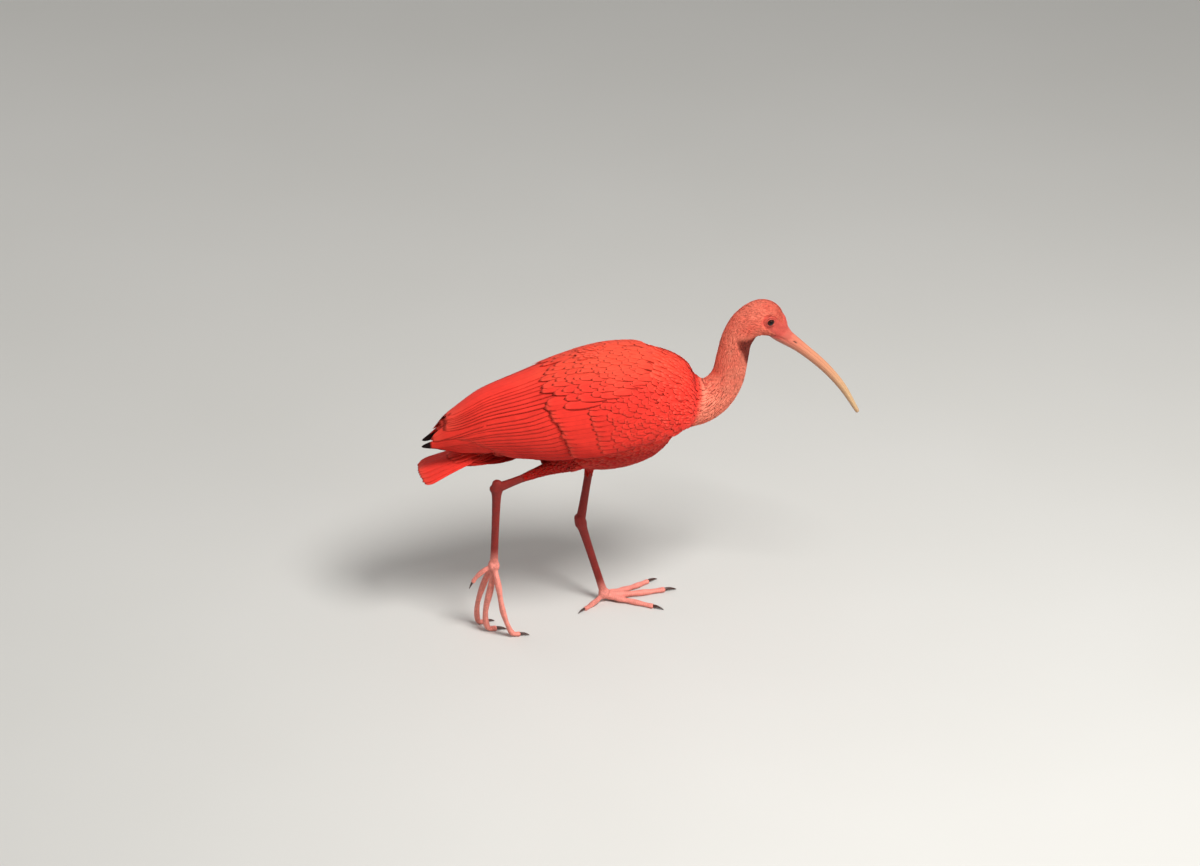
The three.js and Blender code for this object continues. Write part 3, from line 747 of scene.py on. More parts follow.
class Finish:
    """A material made from one shader and the nodes that feed it."""

    def __init__(self, name, **fixed):
        self.material = bpy.data.materials.new(name)
        self.material.use_nodes = True
        self.tree = self.material.node_tree
        self.shader = self.tree.nodes["Principled BSDF"]
        for socket, value in fixed.items():
            self.shader.inputs[socket.replace("_", " ").title().replace("Ior", "IOR")
                               ].default_value = value

    def node(self, kind, settings=None, values=None, out=0):
        """Any node: its settings first, then the values or links of its sockets."""
        node = self.tree.nodes.new("ShaderNode" + kind)
        for name, value in (settings or {}).items():
            setattr(node, name, value)
        for name, value in (values or {}).items():
            if isinstance(value, Value):
                value.feed(node.inputs[name])
            else:
                node.inputs[name].default_value = value
        return Value(self.tree, node.outputs[out])

    def noted(self, name):
        return self.node("Attribute", {"attribute_name": name}, out="Fac")

    def place(self):
        return self.node("TexCoord", out="Object")

    def forward_and_up(self):
        """x as the tables count it, and the height above the floor, both in metres."""
        x, z = (self.node("SeparateXYZ", values={"Vector": self.place()}, out=k) for k in (0, 2))
        return x - float(SHIFT[0]), z

    def grain(self, scale, detail, vector=None, out="Fac"):
        return self.node("TexNoise", values={"Scale": scale, "Detail": detail,
                                             "Vector": vector or self.place()}, out=out)

    def cells(self, scale, vector=None):
        """How far a place is from the edge of its cell."""
        return self.node("TexVoronoi", {"feature": "DISTANCE_TO_EDGE"},
                         {"Vector": vector or self.place(), "Scale": scale}, out="Distance")

    def between(self, value, low, high):
        """0 below low, 1 above high, smooth between."""
        return self.node("MapRange", {"interpolation_type": "SMOOTHSTEP"},
                         {"Value": value, "From Min": low, "From Max": high})

    def blend(self, factor, first, second, way="MIX"):
        return self.node("Mix", {"data_type": "RGBA", "blend_type": way},
                         {0: factor, 6: first, 7: second}, out=2)

    def wear(self, height, distance):
        """Gives the surface its relief."""
        bump = self.node("Bump", values={"Height": height, "Distance": distance}, out="Normal")
        bump.feed(self.shader.inputs["Normal"])

    def colour(self, value):
        value.feed(self.shader.inputs["Base Color"])
        return self.material

    def roughness(self, value):
        value.feed(self.shader.inputs["Roughness"])


MADE = {}


def kept(make):
    """Each finish, and the skin, is made once."""

    def get():
        if make.__name__ not in MADE:
            MADE[make.__name__] = make()
        return MADE[make.__name__]

    return get


def coat_colour(f):
    """Colours by place: a paler neck and head and a scarlet body, with painted light on them: a
    belly darkened as painted shade, a painted sunlit top and a painted shadow under the chin.
    """
    x, z = f.forward_and_up()
    patchy = f.grain(70.0, 3.0)
    forward = x + (0.236 - z) * 0.24
    pale = f.between(forward + (patchy - 0.5) * 0.010, 0.090, 0.100)
    # painted shade: low on the body the coat darkens to the breast colour, as the underside lies in
    # shade
    low = f.between(z + (patchy - 0.5) * 0.02, 0.222, 0.196)
    body = f.blend(low, paint("scarlet"), paint("breast"))
    # painted sunlight: high on the back the coat turns orange, as the top catches the light
    body = f.blend(f.between(z + (patchy - 0.5) * 0.03, 0.262, 0.300) * 0.26, body,
                   paint("bleached"))
    redder = f.between(patchy, 0.35, 0.75) * 0.30 + f.between(z, 0.290, 0.318) * 0.16
    neck = f.blend(redder, paint("neck"), paint("scarlet"))
    # painted shadow: a dark red patch on the front of the neck under the chin, where the head's
    # shadow falls
    throat = f.between(x + z * 0.35 + (patchy - 0.5) * 0.008, 0.2405, 0.2450)
    throat = throat * f.between(z, 0.268, 0.280) * f.between(z, 0.309, 0.303)
    neck = f.blend(throat * 0.94, neck, paint("throat"))
    return f.blend(pale, body, neck)


def barbs(f, slant, finer=1.0):
    """Fine lines that run outwards from a feather's shaft towards its tip."""
    along, across = f.noted("along_mm"), abs(f.noted("across_mm"))
    pitch = in_mm("barb_pitch") * finer
    return ((along - across * slant) * (2 * math.pi / pitch)).maths("SINE")


def toned(f, colour, shade):
    """A colour made lighter or darker alike in its three parts."""
    grey = f.node("CombineColor", values={"Red": shade, "Green": shade, "Blue": shade})
    return f.blend(1.0, colour, grey, "MULTIPLY")


@kept
def small_feathers():
    f = Finish("small_feathers", roughness=0.72, specular_ior_level=0.07, sheen_weight=0.03)
    lines = barbs(f, 1.1, 0.6)
    tone, reach = f.noted("tone"), f.noted("reach")
    across = abs(f.noted("across_mm"))
    shade = 0.885 + tone * 0.10 + reach * 0.08 + lines * 0.02 + (f.grain(300.0, 2.0) - 0.5) * 0.12
    vane = toned(f, coat_colour(f), shade)
    vane = f.blend(f.between(reach, 0.72, 1.0) * 0.14, vane, paint("feather_end"))
    f.wear(lines * 0.5 + f.grain(900.0, 1.0) * 0.6, 0.00004)
    shaft = f.between(across, 0.22, 0.08) * 0.10
    return f.colour(f.blend(shaft, vane, paint("shaft")))


@kept
def wing_feathers():
    f = Finish("wing_feathers", roughness=0.66, specular_ior_level=0.10, sheen_weight=0.03)
    lines = barbs(f, 0.75)
    tone, reach, ink = f.noted("tone"), f.noted("reach"), f.noted("ink")
    across = abs(f.noted("across_mm"))
    soft = f.grain(38.0, 3.0)
    shade = 0.84 + tone * 0.14 + lines * 0.025 + (f.grain(150.0, 3.0) - 0.5) * 0.20
    shade = shade + (soft - 0.5) * 0.30
    x, z = f.forward_and_up()
    # painted shade: low on the wings and on the coverts under the tail the feathers darken to the
    # breast colour; the tail's end stays scarlet
    low = f.between(z + (soft - 0.5) * 0.02, 0.230, 0.196)
    low = low * f.between(x, -0.140, -0.105) * 0.8
    vane = toned(f, f.blend(low, paint("scarlet"), paint("breast")), shade)
    # painted sunlight: high on the wings the feathers turn orange, as the top catches the light
    sunlit_top = f.between(z + (soft - 0.5) * 0.03, 0.268, 0.304)
    vane = f.blend(sunlit_top * 0.30, vane, paint("bleached"))
    vane = f.blend(f.between(reach, 0.84, 1.0) * 0.12, vane, paint("vane_end"))
    shaft = f.between(across, 0.42, 0.20)
    vane = f.blend(shaft * 0.30, vane, paint("quill"))
    black = f.between(reach + (f.grain(260.0, 2.0) - 0.5) * 0.04, 0.83, 0.88) * ink
    f.wear(lines * (0.5 + f.grain(90.0, 2.0)), 0.00003)
    return f.colour(f.blend(black, vane, paint("tips")))


@kept
def ibis_skin():
    f = Finish("ibis_skin", roughness=0.5, specular_ior_level=0.42)
    bare = f.noted("bare")
    warped = f.grain(300.0, 2.0, out="Color")
    place = f.node("Mix", {"data_type": "VECTOR"}, {0: 0.0022, 4: f.place(), 5: warped}, out=1)
    creases = f.between(f.cells(1650.0, place), 0.0, 0.22)
    mottled = f.grain(210.0, 4.0)
    fleshy = f.blend(f.between(mottled, 0.3, 0.7) * 0.45, paint("bare_face"), paint("flush"))
    # painted shade: darker in the creases between the skin's cells
    fleshy = f.blend((1 - creases) * 0.30, fleshy, paint("crease"))
    fleshy = f.blend(f.noted("muzzle") * 0.8, fleshy, paint("bill_base"))
    under = f.blend(0.55, coat_colour(f), paint("under"))
    f.wear(creases * 0.6 + mottled * 0.8, 0.00018)
    return f.colour(f.blend(bare, under, fleshy))


@kept
def bill_horn():
    f = Finish("bill_horn", specular_ior_level=0.42)
    down, around = f.noted("down_bill"), f.noted("round_bill")
    streaks = f.node("CombineXYZ", values={"X": down * 14.0, "Y": around * 5.0, "Z": 0.0})
    grain = f.grain(7.0, 4.0, streaks)
    fine = f.grain(900.0, 2.0)
    drift = down + (grain - 0.5) * 0.16
    base = f.blend(f.between(drift, 0.06, 0.42), paint("bill_base"), paint("bill_middle"))
    base = f.blend(f.between(drift, 0.40, 0.90), base, paint("bill_tip"))
    base = f.blend(f.between(down, 0.95, 1.0) * 0.35, base, paint("bill_end"))
    base = f.blend(f.between(grain, 0.50, 0.80) * 0.40, base, paint("bill_streak"))
    # painted shade: the bill darkens towards its under side
    base = f.blend(f.between(around, 0.0, -0.9) * 0.60, base, paint("bill_under"))
    # painted shade: the nostril's slit is near black, as its inside lies in shade
    base = f.blend(f.noted("hollow"), base, paint("nostril"))
    rings = (down * 420.0).maths("SINE") * f.between(down, 0.22, 0.02)
    f.wear(grain * 0.5 + fine * 0.25 + rings * 0.18, 0.00030)
    f.roughness(0.36 + fine * 0.18)
    return f.colour(base)


@kept
def leg_skin():
    f = Finish("leg_skin", specular_ior_level=0.38)
    down, front, toe, around = (f.noted(name) for name in ("down_leg", "front", "toe", "around"))
    small = f.node("CombineXYZ", values={"X": down * 0.55, "Y": around * 1.1, "Z": toe * 9.0})
    edges = f.between(f.cells(0.80, small), 0.0, 0.13)
    steps = (down / in_mm("scute")).maths("FRACT")
    plates = f.between(abs(steps - 0.5), 0.5, 0.38)
    plates = 1 - (1 - plates) * f.between(front, 0.0, 0.3)
    relief = edges + (plates - edges) * (toe * f.between(front, -0.1, 0.25))
    mottled = f.grain(230.0, 4.0)
    # painted light: the shanks and tarsi take the darker leg colour as shade, the feet the paler
    # toe colour as sunlight
    base = f.blend(f.noted("foot"), paint("legs"), paint("toes"))
    base = toned(f, base, 0.86 + f.between(mottled, 0.3, 0.75) * 0.24)
    # painted shade: darker in the grooves between the scales
    base = f.blend((1 - relief) * 0.30, base, paint("scale_edge"))
    f.wear(relief + mottled * 0.25, 0.00030)
    f.roughness(0.44 + mottled * 0.18)
    return f.colour(base)


@kept
def claw_horn():
    f = Finish("claw_horn", specular_ior_level=0.45, roughness=0.38)
    streaks = f.grain(650.0, 3.0)
    f.wear(streaks, 0.00012)
    return f.colour(f.blend(streaks * 0.6, paint("claws"), paint("claw_streak")))


@kept
def eye_surface():
    f = Finish("eye_surface", roughness=0.04, specular_ior_level=0.2)
    ring = f.noted("ring_mm")
    fibres = f.grain(700.0, 3.0)
    iris = f.blend(fibres, paint("iris"), paint("iris_fibre"))
    iris = f.blend(f.between(ring, 2.7, 3.3), iris, paint("iris_rim"))
    return f.colour(f.blend(f.between(ring, 1.85, 1.70), iris, paint("pupil")))


@kept
def lid_skin():
    f = Finish("lid_skin", roughness=0.5, specular_ior_level=0.4)
    edge = f.between(f.cells(1900.0), 0.0, 0.2)
    f.wear(edge, 0.00016)
    # painted shade: darker in the creases between the lids' cells
    return f.colour(f.blend((1 - edge) * 0.4, paint("bare_face"), paint("lid_crease")))


# ---------------------------------------------------------------- skin


def gap_to(points, start, end):
    """Seen from the side: how far points are from a line, and how far along it, 0 to 1."""
    spots, start = points[:, [0, 2]], np.array(start, float)
    run = np.array(end, float) - start
    f = np.clip(((spots - start) @ run) / (run @ run), 0, 1)
    return np.linalg.norm(spots - (start + f[:, None] * run), axis=1), f


def bare_skin(points):
    """1 on the unfeathered face: before the eye, round it and on the chin."""
    x, z = points[:, 0], points[:, 2]
    gap, f = gap_to(points, (169.5, 324), (183, 308))
    lores = 1 - eased(gap - (6.6 - 0.4 * f), -0.6, 0.6)
    chin = 1 - eased(np.hypot(x - 179, (z - 300.5) * 1.3), 6.5, 7.6)
    front = eased(x, 183.0, 185.0)
    return np.maximum.reduce([lores * (abs(points[:, 1]) > 4.5), chin, front])


def face_relief(points, out):
    """The sockets, the hollow before each eye and the line of the gape, pressed into the skin."""
    x, z = points[:, 0] - EYE[0], points[:, 2] - EYE[2]
    cheek = eased(abs(points[:, 1]), 3.0, 6.0)
    socket = 1 - eased(np.hypot(x, z), 3.5, 9.0)
    brow = np.exp(-((np.hypot(x, z * 1.1) - 8.2) / 1.6) ** 2)
    lores = np.exp(-(gap_to(points, (171, 321), (184, 309))[0] / 3.2) ** 2)
    gape = np.exp(-(gap_to(points, *MOUTH)[0] / 0.75) ** 2)
    depth = cheek * (0.95 * socket - 0.25 * brow + 0.9 * lores + 0.75 * gape)
    return points - out * depth[:, None]


@kept
def skin():
    """The bird's skin in millimetres, the cover it makes and its form without the thighs."""
    form = body_form(Pelt)
    head = form.mark(146.0, 314.0)
    bm = bmesh.new()
    roll_form(bm, form, 120, 300, lambda f: np.interp(f, [0, 0.52, 1], [0, head, form.length]))
    body = mesh_of(bm)
    others = []
    for part in (thigh_form("left"), thigh_form("right"), Form(TAIL_ROOT, (5, 6))):
        bm = bmesh.new()
        roll_form(bm, part, 48, 60)
        others.append(mesh_of(bm))
    mesh = joined(body, others)
    move_points(mesh, face_relief(mesh_points(mesh), mesh_ways_out(mesh)))
    return mesh, Cover(mesh), form


class IBIS_OT_skin(bpy.types.Operator):
    """Makes the one skin of rump, breast, thighs, neck and head"""

    bl_idname = "ibis.skin"
    bl_label = "Skin"

    def execute(self, context):
        mesh = skin()[0].copy()
        points = mesh_points(mesh)
        note(mesh, "bare", bare_skin(points))
        down = points[:, 0] * 0.77 - points[:, 2] * 0.64
        note(mesh, "muzzle", eased(down, -58.0, -49.0))
        finished("body_skin", mesh, ibis_skin(), "plumage", "torso", "neck_lower", "neck_upper",
                 "head", "thigh_left", "thigh_right")
        return {"FINISHED"}


# ---------------------------------------------------------------- eyes


class IBIS_OT_eyes(bpy.types.Operator):
    """Makes the eyeballs and the wrinkled rings of their lids"""

    bl_idname = "ibis.eyes"
    bl_label = "Eyes"

    def execute(self, context):
        radius = in_mm("eye_radius")
        for name, side in (("left", 1), ("right", -1)):
            bm = bmesh.new()
            bmesh.ops.create_uvsphere(bm, u_segments=64, v_segments=40, radius=radius)
            bmesh.ops.rotate(bm, verts=bm.verts, cent=(0, 0, 0),
                             matrix=Matrix.Rotation(math.radians(-90 * side), 3, "X"))
            points = coordinates(bm.verts)
            ring = np.hypot(points[:, 0], points[:, 2])
            outer = points[:, 1] * side > 0
            for vert, bulge in zip(bm.verts, 0.35 * (1 - eased(ring, 0.5, 3.0)) * outer):
                vert.co.y += side * bulge
            ball = self.in_place(bm, side)
            note(ball, "ring_mm", np.where(outer, ring, 9.0))
            finished("eyeball_" + name, ball, eye_surface(), "eye", "eye_" + name)
            lids = self.in_place(self.lids(side), side)
            finished("eyelids_" + name, lids, lid_skin(), "plumage")
        return {"FINISHED"}

    @staticmethod
    def in_place(bm, side):
        """Turned a little to the front and moved to where the eye is."""
        turn = Matrix.Rotation(math.radians(-EYE_TURN * side), 3, "Z")
        bmesh.ops.rotate(bm, verts=bm.verts, cent=(0, 0, 0), matrix=turn)
        bmesh.ops.translate(bm, verts=bm.verts, vec=(EYE[0], side * EYE[1], EYE[2]))
        return mesh_of(bm)

    @staticmethod
    def lids(side):
        """Two soft rings, the margin and the fold round it, a little longer than high."""
        bm = bmesh.new()
        for major, minor, out, beads, high in ((3.70, 0.66, 3.72, 0.03, 0.93),
                                               (5.05, 1.15, 2.45, 0.08, 0.96)):

            def where(u, v):
                a, b = v * 2 * np.pi, u * 2 * np.pi
                thick = minor * (1 + beads * np.sin(a * 34) + 0.08 * np.sin(a * 5 + 1))
                ring = major + thick * np.cos(b)
                corner = 1 + 0.10 * np.cos(a) ** 6
                x = ring * np.cos(a) * 1.06 * corner
                y = out + thick * np.sin(b) - 0.020 * x * x
                return np.stack([x, side * y, ring * np.sin(a) * high], -1)

            shape_grid(bm, 16, 136, where)
        return bm


# ---------------------------------------------------------------- bill


class IBIS_OT_bill(bpy.types.Operator):
    """Makes the upper and lower halves of the bill"""

    bl_idname = "ibis.bill"
    bl_label = "Bill"

    def execute(self, context):
        line = [(x, 0, z, w, h, h) for x, z, w, h in BILL]
        form = Form(line, (0.5, 2.0), square=0.92, samples=500)
        arc, gap = 0.80, 0.02  # the rounded side's share of the grid, the gap at the seam
        for name, middle, reach, shut in (("upper", 0, SEAM - gap, 0.15),
                                          ("lower", np.pi, np.pi - SEAM - gap, -0.35)):
            upper = name == "upper"
            bm = bmesh.new()

            def where(u, v):
                length = v**1.02 * form.length
                swing = np.clip(u / arc, 0, 1) * 2 - 1
                points = form.at(length, middle + swing * reach)
                row = form.row(length)
                back = np.clip((u - arc) / (1 - arc), 0, 1)[:, None]
                left, right = (form.at(length, middle + s * reach) for s in (1, -1))
                flat = left * (1 - back) + right * back
                points = np.where((u > arc)[:, None], flat, points)
                points = self.carve(points, row, length, upper)
                closed = (v < 1e-6) | (v > 1 - 1e-6)
                return np.where(closed[:, None], row[:, :3] + row[:, 12:15] * shut, points)

            shape_grid(bm, 64, 300, where)
            mesh = mesh_of(bm)
            places = mesh_points(mesh)
            length = form.nearest(places)
            note(mesh, "down_bill", length / form.length)
            note(mesh, "round_bill", self.height(places, form.row(length)))
            # how deep in the nostril's slit, where its painted shade goes
            note(mesh, "hollow", self.nostril(places) * upper)
            finished("bill_%s_horn" % name, mesh, bill_horn(), "bill", "bill_" + name)
        return {"FINISHED"}

    @staticmethod
    def height(points, row):
        """Where points lie from the bill's under side, -1, to its ridge, 1."""
        return ((points - row[:, :3]) * row[:, 12:15]).sum(-1) / np.maximum(row[:, 4], 0.01)

    @staticmethod
    def nostril(points):
        """How deep points lie in the long slit of a nostril, 0 to 1."""
        c, s = math.cos(NOSTRIL_LEAN), math.sin(NOSTRIL_LEAN)
        x, z = (points[:, [0, 2]] - NOSTRIL).T
        along, over = x * c + z * s, z * c - x * s
        slit = np.clip(1.15 - (along / 3.1) ** 2 - (over / 0.72) ** 2, 0, 1)
        return eased(slit * (abs(points[:, 1]) > 2.4), 0, 0.8)

    def carve(self, points, row, length, upper):
        """Presses in the nostrils and the groove down each side."""
        high = self.height(points, row)
        if upper:
            reach = eased(length, 12, 26) * (1 - eased(length, 118, 138))
            side = abs(points[:, 1] - row[:, 1]) > 0.25 * row[:, 3]
            depth = 0.42 * reach * np.exp(-((high - 0.46) / 0.11) ** 2) * side
            depth += 0.95 * self.nostril(points)
        else:
            depth = 0.25 * eased(length, 18, 40) * np.exp(-((high + 0.55) / 0.10) ** 2)
        return points - unit(points - row[:, :3]) * depth[:, None]


# ---------------------------------------------------------------- legs


def shank_form(side):
    leg = LEGS[side]
    start = leg["feathered"] - 0.10
    return bone(leg["knee"], leg["ankle"], [
        (start, 3.9, 4.4), (0.5 + start / 2, 3.6, 4.1), (0.97, 4.3, 4.9), (1.03, 4.4, 5.0)], (2, 4))


def bone(start, end, rows, domes):
    """A straight form from one place to another. A row is how far along, half width and reach."""
    start, end = np.array(start, float), np.array(end, float)
    return Form([(*(start + (end - start) * f), w, d, d) for f, w, d in rows], domes)


def leg_forms(side):
    """The forms that run into each other in one leg, by name."""
    leg = LEGS[side]
    hub = np.array(leg["hub"], float)
    tarsus = bone(leg["ankle"], hub, [(-0.05, 4.6, 5.2), (0.02, 5.2, 6.2), (0.14, 3.9, 4.6),
                                      (0.5, 3.3, 3.95), (0.86, 3.6, 4.0), (0.99, 4.3, 4.6)], (5, 5))
    pad = Form([(*(hub + (x, 0, 0)), 6.3, 5.6, 5.6) for x in (-2, 2)], (4, 4))
    forms = [("shank", shank_form(side)), ("tarsus", tarsus), ("pad", pad)]
    for toe, line in TOES[side].items():
        f = np.linspace(0, 1, 8 * BONES[toe] + 1)
        swell = 1 + 0.10 * np.cos(2 * np.pi * BONES[toe] * f)
        size = TOE_RADIUS[toe] * (1 - 0.28 * f) * swell
        stations = np.hstack([smooth([hub, *line[:-1]], f), size[:, None] * (1.06, 0.92, 0.95)])
        forms.append((toe, Form(stations, (3, 2.2))))
    if side == "left":
        for y in (-4.5, 4.5):
            stations = [(hub[0] + x, hub[1] + y * out, z, w, h, h) for x, out, z, w, h in (
                (4, 0.6, 3.6, 2.0, 1.1), (15, 1.15, 3.2, 5.0, 0.8), (22, 1.5, 2.8, 4.5, 0.5))]
            forms.append(("web", Form(stations, (2, 2))))
    return forms


def nodes_of(side, *kinds):
    """The names of the leg's solids of some kinds."""
    return [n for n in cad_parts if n.split("_")[0] in kinds and n.endswith("_" + side)]


class IBIS_OT_legs(bpy.types.Operator):
    """Makes the scaly skin of both legs and feet"""

    bl_idname = "ibis.legs"
    bl_label = "Legs"

    def execute(self, context):
        for side in LEGS:
            forms = leg_forms(side)
            bm = bmesh.new()
            for _, form in forms:
                roll_form(bm, form, 24, max(12, int(form.length / 1.2)))
            mesh = melted(bm, voxel=0.62, smoothing=5)
            points, out = mesh_points(mesh), mesh_ways_out(mesh)
            best = np.full(len(points), 1e9)
            down, front, toe, around, foot = (np.zeros(len(points)) for _ in range(5))
            for kind, form in forms:
                if kind in ("web", "pad"):
                    continue
                length = form.nearest(points)
                row = form.row(length)
                gap = points - row[:, :3]
                far = np.linalg.norm(gap, axis=1) / np.maximum(row[:, 4], 0.01)
                near = far < best
                best[near] = far[near]
                up = (unit(gap) * row[:, 12:15]).sum(-1)
                over = (unit(gap) * row[:, 9:12]).sum(-1)
                is_toe = kind in BONES
                down[near] = length[near] + (0 if is_toe else 200)
                front[near] = up[near]
                around[near] = (np.arctan2(over, up) * row[:, 3])[near]
                toe[near] = foot[near] = is_toe
                # the lower tarsus blends into the toes' paler colour, their painted sunlight
                if kind == "tarsus":
                    foot[near] = eased(length, form.length - 26, form.length - 6)[near]
            step = 1 - abs(2 * ((down / in_mm("scute")) % 1) - 1) ** 6
            rise = 0.16 * (step - 0.6) * toe * eased(front, 0.0, 0.5)
            points = points + out * rise[:, None]
            points[:, 2] = np.maximum(points[:, 2], LOWEST)
            move_points(mesh, points)
            for name, values in (("down_leg", down), ("front", front), ("toe", toe),
                                 ("around", around), ("foot", foot)):
                note(mesh, name, values)
            finished("leg_skin_" + side, smoothed(mesh), leg_skin(), "leg_skin",
                     *nodes_of(side, "shank", "tarsus", "foot", "toe"))
        return {"FINISHED"}


class IBIS_OT_claws(bpy.types.Operator):
    """Makes the claws, curved and thinning to their points"""

    bl_idname = "ibis.claws"
    bl_label = "Claws"

    def execute(self, context):
        for side in LEGS:
            bm = bmesh.new()
            for toe, line in TOES[side].items():
                end, tip = np.array(line[-2:], float)
                radius = TOE_RADIUS[toe] * 0.72 * 0.64
                stations = [(*(end + (tip - end) * f + (0, 0, bend)), radius * s * 0.85,
                             radius * s, radius * s * 0.8)
                            for f, bend, s in ((-0.16, 0, 1.0), (0.3, 0.9, 0.98),
                                               (0.7, 0.7, 0.66), (1, -0.25, 0.26))]
                roll_form(bm, Form(stations, (1.0, 0.7)), 20, 34)
            for vert in bm.verts:
                vert.co.z = max(vert.co.z, LOWEST)
            finished("claws_" + side, mesh_of(bm), claw_horn(), "claw", *nodes_of(side, "claw"))
        return {"FINISHED"}


# ---------------------------------------------------------------- coat of head, neck and body


def coat_size(form, lengths):
    """Length, width, spacing and lift of the feathers along the body's line."""
    flank, breast, neck, crown = (
        in_mm(part + "_feather") for part in ("flank", "breast", "neck", "crown"))
    table = [  # one row for each station of BODY
        (flank, 9.0, 4.2, 1.4), (flank, 9.2, 4.2, 1.5), (flank, 9.2, 4.2, 1.5),
        (flank, 9.0, 4.2, 1.5), (flank * 0.92, 8.4, 4.0, 1.5), (breast, 7.4, 3.5, 1.4),
        (breast * 0.85, 5.8, 2.8, 1.3), (breast * 0.78, 4.2, 2.1, 0.8),
        (neck * 1.25, 3.0, 1.6, 0.6), (neck * 1.1, 2.3, 1.35, 0.5), (neck, 2.0, 1.2, 0.46),
        (neck * 0.9, 1.8, 1.1, 0.5), (neck * 0.8, 1.6, 1.0, 0.6), (crown, 1.3, 0.9, 0.6),
        (crown * 0.72, 1.05, 0.8, 0.42), (crown * 0.5, 0.9, 0.72, 0.3),
        (crown * 0.4, 0.8, 0.7, 0.25),
    ]
    marks = form.nearest(np.array([(x, 0, z) for x, z, *_ in BODY], float))
    return np.stack([np.interp(lengths, marks, column) for column in np.array(table).T], -1)


def rows_of_roots(form, start, stop, draw, size_at, stride=lambda here: 0.86):
    """Staggered rows of feather roots round a form: lengths and angles. The stride is how far
    apart the rows are, as a share of the distance between the roots in a row. Round a bend the
    rows are as far apart on its outside, and thinned out on its inside."""
    lengths, turns = [], []
    here, odd = start, 0
    while here < stop:
        spacing = size_at(here)
        row = form.row(here)
        round_it = math.pi * math.sqrt(2 * (row[3] ** 2 + ((row[4] + row[5]) / 2) ** 2))
        count = max(6, int(round(round_it / spacing)))
        turn = (np.arange(count) + 0.5 * (odd % 2)) / count * 2 * math.pi
        spread = np.clip(form.crowding(np.full(count, here), turn), 0.1, 2.5)
        widest = max(1.0, spread.max())
        stay = (draw.uniform(0, 1, count) < 1.1 * spread / widest) & (spread > 0.2)
        turns.append((turn + draw.normal(0, 0.16, count) * 2 * math.pi / count)[stay])
        lengths.append((here + draw.normal(0, 0.16, count) * spacing / widest)[stay])
        here += spacing * stride(here) / widest
        odd += 1
    return np.concatenate(lengths), np.concatenate(turns)


def wing_angle(points):
    """How far down from the back's top a point lies, in degrees, as the wings are measured."""
    row = coat_row(points[:, 0])
    return np.degrees(np.arctan2(abs(points[:, 1]) / row[:, 1],
                                 (points[:, 2] - row[:, 0]) / row[:, 2]))


class IBIS_OT_body_feathers(bpy.types.Operator):
    """Lays the small feathers of head, neck, breast, belly and rump"""

    bl_idname = "ibis.body_feathers"
    bl_label = "Head, neck and body feathers"

    def execute(self, context):
        _, cover, form = skin()
        draw = np.random.default_rng(11)
        middle, breast, crop, head = (
            form.mark(x, z) for x, z in ((0, 233), (76, 239), (104, 235.5), (139, 304)))

        def spacing(length):
            return float(coat_size(form, np.array([length]))[0, 2])

        def stride(length):
            return float(0.86 + 0.84 * eased(length, breast, crop))

        lengths, turns = rows_of_roots(form, 10.0, form.length - 2.0, draw, spacing, stride)
        roots = form.at(lengths, turns)
        x = roots[:, 0]
        places, _ = cover.settle(roots)
        keep = np.linalg.norm(places - roots, axis=1) < 2.2
        rear, front, lowest = UNDER_WING
        under_wing = (x > rear) & (x < front) & (wing_angle(roots) < lowest)
        keep &= ~under_wing & (bare_skin(roots) < 0.5)
        keep &= np.hypot(x - EYE[0], roots[:, 2] - EYE[2]) > 6.2
        lengths, turns, roots = lengths[keep], turns[keep], roots[keep]
        size = coat_size(form, lengths)
        ways = -unit(form.at(lengths + 4, turns) - form.at(lengths - 4, turns))
        root_map = round_map(lengths, form, turns)
        parts = [
            ("head_feathers", lengths >= head, PLUME, 0.8, 1.5, 0.04, 0.045),
            ("neck_feathers", (lengths >= breast) & (lengths < head), PLUME, 0.8, 1.5, 0.04, 0.05),
            ("breast_feathers", (lengths >= middle) & (lengths < breast), CONTOUR, 0.5, 2.2, 0.02,
             0.07),
            ("belly_feathers", lengths < middle, CONTOUR, 0.5, 2.2, 0.025, 0.07),
        ]
        for name, pick, leaf, tip, point, ragged, thick in parts:
            plumage = Plumage()
            lay_feathers(plumage, leaf, cover, roots[pick], ways[pick], size[pick, 0],
                         size[pick, 1], size[pick, 3], root_map[pick], draw, tip, point, ragged,
                         thick)
            finished(name, plumage.mesh(), small_feathers(), "plumage")
        return {"FINISHED"}


class IBIS_OT_thigh_feathers(bpy.types.Operator):
    """Lays the feathers of both thighs"""

    bl_idname = "ibis.thigh_feathers"
    bl_label = "Thigh feathers"

    def execute(self, context):
        long = in_mm("thigh_feather")
        for side in LEGS:
            draw = np.random.default_rng(23 if side == "left" else 29)
            form = thigh_form(side)
            bm = bmesh.new()
            roll_form(bm, form, 40, 60)
            roll_form(bm, shank_form(side), 24, 40)
            cover = Cover.over(bm, voxel=1.1, smoothing=10)
            lengths, turns = rows_of_roots(form, 2.0, form.length - 2.5, draw, lambda here: 2.5)
            roots = form.at(lengths, turns)
            places, _ = skin()[1].settle(roots)
            keep = np.linalg.norm(places - roots, axis=1) < 0.8
            lengths, turns, roots = lengths[keep], turns[keep], roots[keep]
            f = lengths / form.length
            plumage = Plumage()
            lay_feathers(plumage, PLUME, cover, roots, form.row(lengths)[:, 6:9],
                         long * (1.05 - 0.42 * f), 4.6 - 2.1 * f, 1.4 - 1.0 * f,
                         round_map(lengths, form, turns), draw, 0.6, 1.8, 0.03)
            finished("thigh_feathers_" + side, plumage.mesh(), small_feathers(), "plumage")
        return {"FINISHED"}


# Where the mantle runs on over the foot of the neck: x, middle's height, half width, half height
COLLAR = [(94, 236.5, 30, 31), (101, 236, 25, 26), (108, 237.5, 22.5, 23)]


